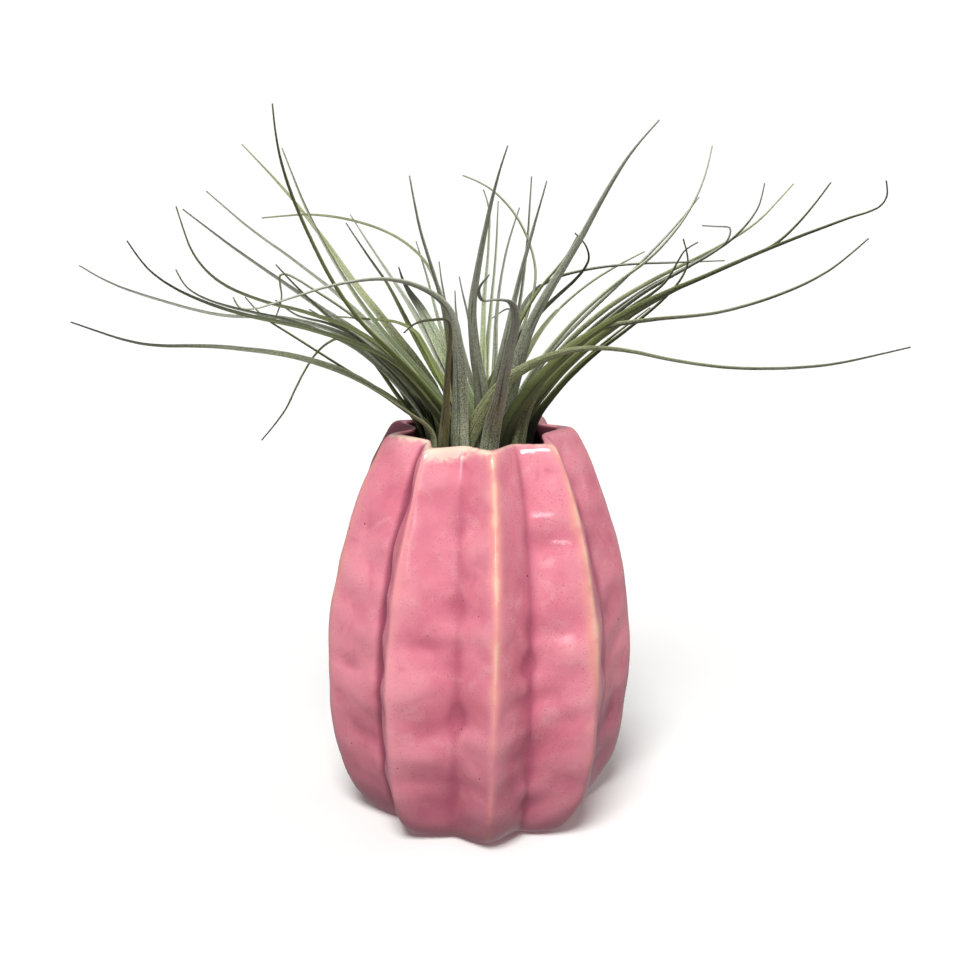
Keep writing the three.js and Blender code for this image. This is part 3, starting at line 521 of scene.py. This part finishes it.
def finger_marks(place):
    """How far the marks of the fingers move the surface out at a place."""
    turn = turn_of(place)
    reach = place.xy.length
    moved = 0
    for direction, height, wide, high, depth in FINGER_MARKS:
        round_share = (turn - math.radians(direction)) * reach / (wide * MM)
        up_share = (place.z - height * MM) / (high * MM)
        moved += depth * MM * math.exp(-(round_share**2) - up_share**2)
    return moved


def note_hollows(bm):
    """Notes how far each point lies under the smoothed surface, so that the glaze is darker there, partly as
    pooled glaze and partly as painted shade.
    """
    pressed = bm.verts.layers.float.new("pressed")
    before = [vertex.co.copy() for vertex in bm.verts]
    bm.normal_update()
    normals = [vertex.normal.copy() for vertex in bm.verts]
    every_way = {"use_axis_x": True, "use_axis_y": True, "use_axis_z": True}
    for _ in range(SMOOTHINGS):
        bmesh.ops.smooth_vert(bm, verts=bm.verts, factor=SMOOTHING_SHARE, **every_way)
    for vertex, place, normal in zip(bm.verts, before, normals):
        vertex[pressed] = (vertex.co - place).dot(normal) / HOLLOW_SCALE
        vertex.co = place


def vase_piece():
    """The vase, its surface a little uneven as pressed clay is, with marks for the glaze to follow."""
    coarse = merged_copy("vase")
    mark_ribs(coarse)
    bm = refined(coarse, "vase", VASE_FINENESS)
    bm.normal_update()
    valley = bm.verts.layers.float["valley"]
    inside = bm.verts.layers.float["inside"]
    firm = bm.verts.layers.float["firm"]
    for vertex in bm.verts:
        place = vertex.co
        under_rim = ease(0, RIM_KEPT, VASE_HEIGHT - place.z)
        kept = ease(0, FOOT_KEPT_FLAT, place.z) * (RIM_UNEVENNESS + (1 - RIM_UNEVENNESS) * under_rim)
        swell = noise.noise(place * SWELL_SPREAD) * SWELL_DEPTH
        ripple = noise.noise(place * RIPPLE_SPREAD) * RIPPLE_DEPTH
        groove = VALLEY_GROOVE * min(ease(0, 1, vertex[valley]), GROOVE_LIMIT)
        kept *= (1 - INSIDE_EVENNESS * vertex[inside]) * (1 - vertex[firm])
        marks = finger_marks(place) if vertex[inside] < 0.5 else 0
        vertex.co += vertex.normal * ((swell + ripple - groove) * kept + marks)
    note_hollows(bm)
    return make_piece("glazed_vase", bm, "vase")


# Leaves

def leaf_sections(node):
    """A leaf's cross sections from root to tip, read off its solid: four corners each, in the order
    left margin, keel, right margin, floor of the channel."""
    bm = merged_copy(node)
    ends = [vertex for vertex in bm.verts if len(vertex.link_edges) == 4]
    root = min(ends, key=lambda vertex: vertex.co.xy.length)
    first = {edge.other_vert(root) for edge in root.link_edges}
    keel = max(first, key=lambda vertex: vertex.co.xy.length)
    beside = {edge.other_vert(keel) for edge in keel.link_edges} & first
    left, right = sorted(beside, key=lambda vertex: (keel.co - root.co).cross(vertex.co - root.co).z)
    floor = (first - {keel, left, right}).pop()
    ring = [left, keel, right, floor]
    done = {root, *ring}
    rings = [ring]
    while True:
        ahead = [{e.other_vert(v) for e in v.link_edges} - done for v in ring]
        if len(set().union(*ahead)) != len(ring):
            break
        turned = all(ahead[i] & ahead[i - 1] for i in range(len(ring)))
        step = -1 if turned else 1
        ring = [(ahead[i] & ahead[(i + step) % len(ring)]).pop() for i in range(len(ring))]
        done.update(ring)
        rings.append(ring)
    corners = [[vertex.co.copy() for vertex in one] for one in rings]
    bm.free()
    return corners


def section_measures(corners):
    """Middle, direction across, width, thickness and channel depth of one cross section."""
    left, keel, right, floor = corners
    middle = (left + keel + right + floor) / 4
    across = right - left
    upper = floor - keel
    rise = (left + right) / 2 - middle
    return {
        "middle": middle,
        "across": across.normalized(),
        "upper": upper.normalized(),
        "width": across.length,
        "thickness": upper.length,
        "channel": 2 * rise.length,
    }


def blended(one, other, t):
    """The measures a share t of the way from one cross section to the next."""
    return {
        "across": one["across"].lerp(other["across"], t).normalized(),
        "upper": one["upper"].lerp(other["upper"], t).normalized(),
        "width": one["width"] + (other["width"] - one["width"]) * t,
        "thickness": one["thickness"] + (other["thickness"] - one["thickness"]) * t,
        "channel": one["channel"] + (other["channel"] - one["channel"]) * t,
    }


def blade_rows(sections):
    """Finer cross sections on a smooth run through the frame's own."""
    middles = [section["middle"] for section in sections]
    last = len(middles) - 1
    spans = [(middles[i + 1] - middles[i]).length for i in range(last)]
    slopes = []
    for i, middle in enumerate(middles):
        if i == 0 or i == last:
            near = 0 if i == 0 else last - 1
            slopes.append((middles[near + 1] - middles[near]) / spans[near])
            continue
        arriving = (middle - middles[i - 1]) / spans[i - 1]
        leaving = (middles[i + 1] - middle) / spans[i]
        slopes.append((arriving * spans[i] + leaving * spans[i - 1]) / (spans[i] + spans[i - 1]))
    rows = []
    gone = 0
    for i in range(last):
        for part in range(BLADE_ROWS + (i == last - 1)):
            t = part / BLADE_ROWS
            row = blended(sections[i], sections[i + 1], t)
            bend = slopes[i] * spans[i] * t * (1 - t) ** 2 - slopes[i + 1] * spans[i] * t * t * (1 - t)
            straight = middles[i] * (1 + 2 * t) * (1 - t) ** 2 + middles[i + 1] * t * t * (3 - 2 * t)
            row["middle"] = straight + bend
            row["gone"] = gone + spans[i] * t
            rows.append(row)
        gone += spans[i]
    for row in rows:
        row["share"] = row["gone"] / gone
    return rows


def blade_tube(rows):
    """A closed tube one metre tall, with a ring of points for each row of a blade."""
    bm = bmesh.new()
    bmesh.ops.create_cone(
        bm,
        cap_ends=True,
        segments=BLADE_SIDES,
        radius1=1,
        radius2=1,
        depth=1,
        matrix=Matrix.Translation((0, 0, 0.5)),
    )
    lengthways = [e for e in bm.edges if abs(e.verts[0].co.z - e.verts[1].co.z) > 0.5]
    bmesh.ops.subdivide_edges(bm, edges=lengthways, cuts=rows - 2, use_grid_fill=True)
    return bm


def blade_piece(node, draw):
    """One leaf as a fine, channelled blade with thin margins and a wiry tip."""
    rows = blade_rows([section_measures(corners) for corners in leaf_sections(node)])
    bm = blade_tube(len(rows))
    layers = new_layers(bm, "along", "across", "tint", "shade", "light", "dry")
    leaf_tint = draw.uniform(-1, 1)
    phase = draw.uniform(0, 100)
    low, high = LIGHTNESS.get(node, (0, 0))
    turned = math.radians(TURNED.get(node, 0))
    for vertex in bm.verts:
        row = rows[round(vertex.co.z * (len(rows) - 1))]
        turn = math.atan2(vertex.co.y, vertex.co.x)
        share = row["share"]
        vertex[layers["along"]] = share
        vertex[layers["across"]] = math.cos(turn)
        vertex[layers["tint"]] = leaf_tint
        vertex[layers["shade"]] = SHADED.get(node, 0)
        vertex[layers["light"]] = low + (high - low) * ease(*LIGHTNESS_RUN, share)
        vertex[layers["dry"]] = DRY_ENDS.get(node, 0) * ease(*DRYING_RUN, share)
        vertex.co = blade_point(row, turn, turned, phase)
    bmesh.ops.recalc_face_normals(bm, faces=bm.faces)
    if bm.calc_volume(signed=True) < 0:
        # The line above can turn a thin, curled leaf inside out as a whole.
        bmesh.ops.reverse_faces(bm, faces=bm.faces)
    return make_piece(node.replace("leaf", "blade"), bm, node)


def blade_point(row, turn, turned, phase):
    """The place of a point round a cross section, turn 0 at the right margin and a quarter above."""
    loose = ease(*LOOSE_RUN, row["share"])
    wiry = ease(TIP_FROM, 1, row["share"])
    thin = 1 - (1 - TIP_SHARE) * wiry
    to_front = row["across"].cross(Vector((0, -1, 0)))
    facing = math.copysign(1, to_front.dot(row["across"].cross(row["upper"])))
    twist = TWIST * loose * noise.noise(Vector((row["gone"] / TWIST_LENGTH, phase, 0)))
    twist += facing * turned * ease(*TURNING_RUN, row["share"])
    wander = WANDER * loose * noise.noise(Vector((row["gone"] / TWIST_LENGTH * 2, phase, 7)))
    side = math.cos(turn)
    body = abs(math.sin(turn)) ** MARGIN_SHARPNESS * math.copysign(1, math.sin(turn))
    out = side * row["width"] / 2 * thin
    up = row["channel"] * (abs(side) ** CHANNEL_CURVE - 0.5) * thin
    up += body * row["thickness"] / 2 * thin * (BLADE_THICKNESS + (1 - BLADE_THICKNESS) * wiry)
    across = row["across"] * math.cos(twist) + row["upper"] * math.sin(twist)
    upper = row["upper"] * math.cos(twist) - row["across"] * math.sin(twist)
    return row["middle"] + across * (out + wander) + upper * up


# Stem

def stem_piece():
    """The stem, ringed by the scars of old leaves."""
    bm = refined(merged_copy("stem"), "stem", STEM_FINENESS)
    bm.normal_update()
    for vertex in bm.verts:
        waves = SCAR_WAVE_HEIGHT * math.sin(SCAR_WAVES * turn_of(vertex.co))
        rings = math.sin(2 * math.pi * vertex.co.z / SCAR_SPACING + waves)
        vertex.co += vertex.normal * SCAR_DEPTH * (rings - 1)
    return make_piece("scarred_stem", bm, "stem")


# Materials

def add_node(tree, kind, settings=None, inputs=None):
    """Adds a shader node. Settings are its own properties; an input is a value or another node's
    output, by the socket's name or number."""
    node = tree.nodes.new(kind)
    for key, value in (settings or {}).items():
        setattr(node, key, value)
    for key, value in (inputs or {}).items():
        if isinstance(value, bpy.types.NodeSocket):
            tree.links.new(value, node.inputs[key])
        else:
            node.inputs[key].default_value = value
    return node


def new_material(name):
    """An empty material and its node tree."""
    material = bpy.data.materials.new(name)
    material.use_nodes = True
    material.node_tree.nodes.clear()
    return material, material.node_tree


def point_values(tree, *names):
    """What a material reads at each point: its place and height in the object's own space, and the
    values that the mesh carries there, by name."""
    place = add_node(tree, "ShaderNodeTexCoord").outputs["Object"]
    height = add_node(tree, "ShaderNodeSeparateXYZ", {}, {0: place}).outputs["Z"]
    values = {"place": place, "height": height}
    for name in names:
        values[name] = add_node(tree, "ShaderNodeAttribute", {"attribute_name": name}).outputs["Fac"]
    return values


def grain(tree, size, detail=2.0, stretch=(1, 1, 1), distortion=0.0):
    """Noise whose grains are `size` metres across, in the object's own space."""
    where = add_node(tree, "ShaderNodeTexCoord").outputs["Object"]
    spread = add_node(tree, "ShaderNodeMapping", {}, {"Vector": where, "Scale": stretch})
    pattern = {
        "Vector": spread.outputs["Vector"],
        "Scale": 1 / size,
        "Detail": detail,
        "Distortion": distortion,
    }
    return add_node(tree, "ShaderNodeTexNoise", {}, pattern).outputs["Fac"]


def share_of(tree, *reasons):
    """How strongly something shows: the product of its reasons, which are numbers, outputs or rises."""
    share = None
    for reason in reasons:
        if isinstance(reason, Rise):
            levels = {"From Min": reason.low, "From Max": reason.high}
            results = {"To Min": reason.start, "To Max": reason.end}
            inputs = {"Value": reason.value, **levels, **results}
            smooth = {"interpolation_type": "SMOOTHSTEP"}
            reason = add_node(tree, "ShaderNodeMapRange", smooth, inputs).outputs["Result"]
        if share is None:
            share = reason
        else:
            times = add_node(tree, "ShaderNodeMath", {"operation": "MULTIPLY"}, {0: share, 1: reason})
            share = times.outputs[0]
    return share


def coated(tree, colour, *coats):
    """A colour under coats. Each is an sRGB colour and the reasons for how strongly it shows."""
    for code, *reasons in coats:
        inputs = {"Factor": share_of(tree, *reasons), 6: colour, 7: linear(code)}
        colour = add_node(tree, "ShaderNodeMix", {"data_type": "RGBA"}, inputs).outputs[2]
    return colour


def finish_material(tree, inputs, *reliefs):
    """Ends a material in one surface with these inputs. A relief is a height and how far it stands out,
    and each is laid over the one before."""
    normal = {}
    for height, distance in reliefs:
        relief = {"Height": height, "Strength": 1.0, "Distance": distance, **normal}
        normal = {"Normal": add_node(tree, "ShaderNodeBump", {}, relief).outputs["Normal"]}
    surface = add_node(tree, "ShaderNodeBsdfPrincipled", {}, {**inputs, **normal})
    add_node(tree, "ShaderNodeOutputMaterial", {}, {"Surface": surface.outputs["BSDF"]})


def pink_glaze():
    """Glossy stoneware glaze over a pale clay. It lies thin and light near the rim, and painted shade
    darkens it towards the foot. Hollows and valleys are darker, partly as pooled glaze and partly as painted
    shade, and the inner wall is painted dark as shade. Over ridges and the rim it is so thin that the warm
    clay shows. It is finely speckled, with a few pinholes."""
    material, tree = new_material("pink_stoneware_glaze")
    at = point_values(tree, "crest", "valley", "rim", "inside", "band", "dull", "pressed")
    cloud = grain(tree, GLAZE_CLOUD, 3.0)
    patch = grain(tree, GLAZE_PATCH, 3.0, distortion=0.5)
    speckle = grain(tree, GLAZE_SPECKLE, 1.0)
    pinhole = pinholes(tree, at)
    colour = coated(
        tree,
        glaze_body_with_painted_shade(tree, at, cloud, patch),
        (GLAZE["speckle"], Rise(speckle, 0.4, 0.28), Rise(patch, 0.35, 0.6, 0, 0.8), 0.5),
        (GLAZE["pale speckle"], Rise(speckle, 0.6, 0.8, 0, 0.12)),
    )
    colour = clay_edges(tree, at, colour)
    colour = thin_under_rim(tree, at, colour)
    colour = coated(
        tree,
        colour,
        (GLAZE["pinhole"], pinhole),
        # Painted shade: the inner wall, and the back rib's top, are darkened.
        (GLAZE["inside"], Rise(at["inside"], 0.0, 0.6, 0, 0.9)),
    )
    own = share_of(tree, Rise(patch, 0.3, 0.7, 0.1, 0.2))
    dullness = share_of(tree, at["dull"], DULL_ROUGHNESS)
    rough = add_node(tree, "ShaderNodeMath", {"operation": "ADD"}, {0: own, 1: dullness})
    pits = add_node(tree, "ShaderNodeMath", {"operation": "SUBTRACT"}, {0: speckle, 1: pinhole})
    finish_material(
        tree,
        {"Base Color": colour, "Roughness": rough.outputs[0], "IOR": 1.52},
        (patch, GLAZE_WAVE_HEIGHT),
        (pits.outputs[0], GLAZE_SPECKLE_HEIGHT),
    )
    return material


def glaze_body_with_painted_shade(tree, at, cloud, patch):
    """The glaze's body, milky or rosy in patches. Swellings are lighter, and hollows and valleys darker,
    partly by how thick the glaze lies and partly as painted light and shade, and painted shade darkens it
    towards the foot."""
    wander = share_of(tree, cloud, FOOT_SHADE_WANDER)
    # The height that sets the painted shade towards the foot, made to wander.
    run = add_node(tree, "ShaderNodeMath", {"operation": "ADD"}, {0: at["height"], 1: wander})
    return coated(
        tree,
        linear(GLAZE["body"]),
        (GLAZE["lighter body"], Rise(cloud, 0.35, 0.65)),
        (GLAZE["milky"], Rise(patch, 0.5, 0.78, 0, 0.45)),
        (GLAZE["rosy"], Rise(patch, 0.47, 0.22, 0, 0.5)),
        # Partly pooled glaze and partly painted shade in hollows, partly thin glaze and partly painted light
        # on swellings.
        (GLAZE["hollows: pooled glaze and painted shade"], Rise(at["pressed"], 0.0, 1.0, 0, 0.7)),
        (GLAZE["swellings: thin glaze and painted light"], Rise(at["pressed"], -0.1, -0.9, 0, 0.4)),
        # Partly pooled glaze and partly painted shade in the valleys.
        (GLAZE["valleys: pooled glaze and painted shade"], Rise(at["valley"], 0.1, 0.9, 0, 0.75)),
        # Painted shade towards the foot.
        (GLAZE["painted shade towards the foot"], Rise(run.outputs[0], FOOT_SHADE_FROM, FOOT_SHADE_FULL, 0, 0.5)),
    )


def clay_edges(tree, at, colour):
    """Lays the thin glaze of the ridges and the rim over a colour: peach, and cream where thinnest. The
    glaze is thinner, and the ridges lighter, in the upper half."""
    wander = grain(tree, EDGE_WANDER, 4.0)
    broken = grain(tree, EDGE_BREAKS, 2.0)
    upper = Rise(at["height"], CLAY_FAINT_BELOW, CLAY_CLEAR_ABOVE, 0.4, 1)
    crest = share_of(tree, at["crest"], Rise(wander, 0.34, 0.58, 0.62, 1), upper)
    rim = share_of(tree, at["rim"], Rise(broken, 0.3, 0.55, 0.65, 1))
    half_rim = share_of(tree, rim, 0.55)
    edge = add_node(tree, "ShaderNodeMath", {"operation": "MAXIMUM"}, {0: crest, 1: half_rim})
    return coated(
        tree,
        colour,
        (GLAZE["over clay"], Rise(edge.outputs[0], 0.12, 0.6, 0, 0.7)),
        (GLAZE["on ridges"], Rise(crest, 0.45, 0.95, 0, 0.65)),
        (GLAZE["on the rim"], Rise(rim, 0.35, 0.8, 0, 0.85)),
    )


def thin_under_rim(tree, at, colour):
    """Lays patches of thin, cream glaze over a colour where a band of it runs down from the rim."""
    patchy = grain(tree, CREAM_PATCH, 3.0, distortion=0.6)
    near = Rise(at["height"], THIN_DOWN_TO, VASE_HEIGHT - 1 * MM)
    cream = share_of(tree, at["band"], near, Rise(patchy, 0.3, 0.55, 0.35, 1))
    return coated(tree, colour, (GLAZE["under the rim"], Rise(cream, 0.1, 0.7, 0, 0.8)))


def pinholes(tree, at):
    """Small dark pits, one in a few cells of a coarse pattern."""
    pattern = {"Vector": at["place"], "Scale": 1 / PINHOLE_SPACING}
    cells = add_node(tree, "ShaderNodeTexVoronoi", {}, pattern)
    draws = add_node(tree, "ShaderNodeSeparateColor", {}, {0: cells.outputs["Color"]})
    some = {0: draws.outputs[0], 1: 0.8}
    chosen = add_node(tree, "ShaderNodeMath", {"operation": "GREATER_THAN"}, some)
    return share_of(tree, Rise(cells.outputs["Distance"], 0.075, 0.04), chosen.outputs[0])


def leaf_skin(slot, finish):
    """Air plant leaf: a green blade under a felt of tiny pale scales, which shows as a fine silver
    grain. Veins run along it, its margins are pale and some leaves have a dry, dark end. The scales are
    a third of a millimetre across here, a little larger than life, so that they show."""
    material, tree = new_material(slot.replace("leaf", "scaly_leaf"))
    at = point_values(tree, "along", "across", "tint", "shade", "light", "dry")
    veins = vein_lines(tree, at)
    scales = grain(tree, SCALE_SIZE, 1.0)
    colour = tinted_blade(tree, at, finish)
    colour = scaly(tree, at, colour, veins, scales, finish)
    colour = crease_shaded(tree, at, colour, veins, finish)
    finish_material(
        tree,
        {
            "Base Color": shaded(tree, at, colour),
            "Roughness": share_of(tree, Rise(scales, 0.3, 0.7, 0.55, 0.8)),
            "IOR": 1.35,
            "Sheen Weight": 0.04,
            "Sheen Roughness": 0.5,
        },
        (veins, VEIN_HEIGHT),
        (scales, SCALE_HEIGHT),
    )
    return material


def tinted_blade(tree, at, finish):
    """The blade's run of colours, with a leaf's own tint and mottling, which fade towards its tip."""
    mottle = grain(tree, LEAF_MOTTLE, 2.0)
    fresh = Rise(at["along"], 0.45, 0.85, 1, 0.25)
    return coated(
        tree,
        blade_colour(tree, at, finish["blade"]),
        (finish["tint"], Rise(at["tint"], -1, 1, 0, 0.35), fresh),
        (finish["tint"], Rise(mottle, 0.4, 0.7, 0, 0.4), fresh),
    )


def scaly(tree, at, colour, veins, scales, finish):
    """Lays veins and scales over a blade. Fewer scales are left towards the tip. A leaf's lightness, partly
    its own tone and partly painted shade and light, is laid under them and once more over them."""
    pale = finish["scales"]
    dark = finish["shade"]
    worn = Rise(at["along"], 0.6, 1.0, 1, 0.3)
    return coated(
        tree,
        colour,
        # A leaf's lightness, partly its own tone and partly painted shade and light.
        (pale, Rise(at["light"], 0, 1, 0, 0.75)),
        (dark, Rise(at["light"], 0, -1, 0, 0.85)),
        (pale, Rise(veins, 0.52, 0.7, 0, 0.3)),
        (dark, Rise(veins, 0.47, 0.3, 0, 0.5)),
        (pale, Rise(scales, 0.5, 0.64, 0, finish["cover"]), worn),
        (dark, Rise(scales, 0.48, 0.36, 0, 0.65)),
        # The same lightness, painted shade and light in part, once more over the scales.
        (pale, Rise(at["light"], 0, 1, 0, 0.35)),
        (dark, Rise(at["light"], 0, -1, 0, 0.65)),
    )


def crease_shaded(tree, at, colour, veins, finish):
    """Paints shade into the crease along a leaf's middle, and lightens its pale margins."""
    side = add_node(tree, "ShaderNodeMath", {"operation": "ABSOLUTE"}, {0: at["across"]}).outputs[0]
    return coated(
        tree,
        colour,
        # Painted shade along the crease of the middle.
        (finish["shade"], Rise(side, 0.3, 0.05), Rise(veins, 0.6, 0.4), 0.65),
        (finish["scales"], Rise(side, 0.84, 0.98, 0, 0.5)),
    )


def shaded(tree, at, colour):
    """Darkens a dry end, and a lower part that stands in the shade of other leaves and of the mouth."""
    in_mouth = Rise(at["height"], VASE_HEIGHT + MOUTH_SHADE, VASE_HEIGHT)
    return coated(
        tree,
        colour,
        (DRY_COLOUR, at["dry"], 0.85),
        (DEEP_SHADE, at["shade"], Rise(at["along"], 0.6, 0.25)),
        (DEEP_SHADE, in_mouth, Rise(at["shade"], 0.1, 0.6, 0, 0.9)),
    )


def blade_colour(tree, at, codes):
    """The run of colours from a leaf's root to its tip."""
    run = add_node(tree, "ShaderNodeValToRGB", {}, {"Fac": at["along"]})
    stops = run.color_ramp.elements
    while len(stops) < len(BLADE_STOPS):
        stops.new(0.5)
    for stop, place, code in zip(stops, BLADE_STOPS, codes):
        stop.position = place
        stop.color = linear(code)
    return run.outputs["Color"]


def vein_lines(tree, at):
    """Noise drawn out along a leaf, so that it reads as veins and creases, other ones on each leaf."""
    spread = [share_of(tree, at[name], times) for name, times in VEIN_SPREAD.items()]
    where = add_node(tree, "ShaderNodeCombineXYZ", {}, dict(enumerate(spread)))
    pattern = {"Vector": where.outputs[0], "Scale": 1.0, "Detail": 3.0}
    return add_node(tree, "ShaderNodeTexNoise", {}, pattern).outputs["Fac"]


def stem_bark():
    """The fibrous brown of old leaf bases, dull and rough."""
    material, tree = new_material("dry_leaf_bases")
    fibres = grain(tree, FIBRE, 3.0, FIBRE_STRETCH)
    colour = coated(tree, linear("#4d3f2a"), ("#8a7854", Rise(fibres, 0.3, 0.7)))
    finish_material(tree, {"Base Color": colour, "Roughness": 0.85}, (fibres, FIBRE_HEIGHT))
    return material


# The room

def pale_floor():
    """A plain floor that runs on past the picture. It throws no light back up, so that the undersides
    stay dark and the glaze doesn't mirror it."""
    bm = bmesh.new()
    bmesh.ops.create_circle(bm, cap_ends=True, segments=FLOOR_SIDES, radius=FLOOR_RADIUS)
    mesh = bpy.data.meshes.new("floor")
    bm.to_mesh(mesh)
    bm.free()
    floor = bpy.data.objects.new("floor", mesh)
    bpy.context.scene.collection.objects.link(floor)
    floor.visible_diffuse = False
    floor.visible_glossy = False
    mesh.materials.append(matt_paint())


def matt_paint():
    """Matt, nearly white wall paint, which looks flat and hardly shines."""
    material, tree = new_material("matt_white_paint")
    paint = linear("#f4f4f2")
    finish_material(tree, {"Base Color": paint, "Roughness": 0.9, "Specular IOR Level": 0.1})
    return material


def lamp(kind, name, place, strength, size):
    """A soft light that points at the middle of the object."""
    data = bpy.data.lights.new(name, kind)
    data.energy = strength
    if kind == "SUN":
        data.angle = size
    else:
        data.shape = "SQUARE"
        data.size = size
    light = bpy.data.objects.new(name, data)
    light.location = place
    light.rotation_euler = (Vector(LAMP_TARGET) - Vector(place)).to_track_quat("-Z", "Y").to_euler()
    bpy.context.scene.collection.objects.link(light)
    return light


def soft_light():
    """A broad key from above and in front, even daylight, a weak light from the right that the glaze
    doesn't mirror, and a window behind the camera for gloss."""
    world = bpy.data.worlds.new("daylight")
    bpy.context.scene.world = world
    world.use_nodes = True
    background = world.node_tree.nodes["Background"]
    background.inputs["Color"].default_value = (1, 1, 1, 1)
    background.inputs["Strength"].default_value = DAYLIGHT
    lamp("SUN", "key", KEY_PLACE, KEY_STRENGTH, KEY_SPREAD)
    side = lamp("SUN", "side", SIDE_PLACE, SIDE_STRENGTH, SIDE_SPREAD)
    side.visible_glossy = False
    lamp("AREA", "window", WINDOW_PLACE, WINDOW_STRENGTH, WINDOW_WIDTH)


def stand_camera():
    """The camera, at the place and with the lens of the photograph."""
    data = bpy.data.cameras.new("camera")
    data.sensor_width = CAMERA_SENSOR
    data.lens = CAMERA_LENS
    data.clip_start = CAMERA_NEAR
    data.clip_end = CAMERA_FAR
    camera = bpy.data.objects.new("camera", data)
    camera.location = CAMERA_PLACE
    camera.rotation_euler = (math.pi / 2 - CAMERA_DOWN, 0, 0)
    bpy.context.scene.collection.objects.link(camera)
    bpy.context.scene.camera = camera


def dress_plant():
    """Builds every leaf and the stem, each with its finish."""
    slots = {entry["node"]: entry["material_slot"] for entry in frame["record"]["subparts"]}
    skins = {slot: leaf_skin(slot, finish) for slot, finish in LEAF_FINISHES.items()}
    draw = random.Random(LEAF_SEED)
    for node in sorted(name for name in slots if name.startswith("leaf")):
        blade = blade_piece(node, draw)
        blade.data.materials.append(skins[slots[node]])
    stem_piece().data.materials.append(stem_bark())


bpy.context.scene.view_settings.view_transform = "Standard"
stand_camera()
soft_light()
pale_floor()
vase_piece().data.materials.append(pink_glaze())
dress_plant()
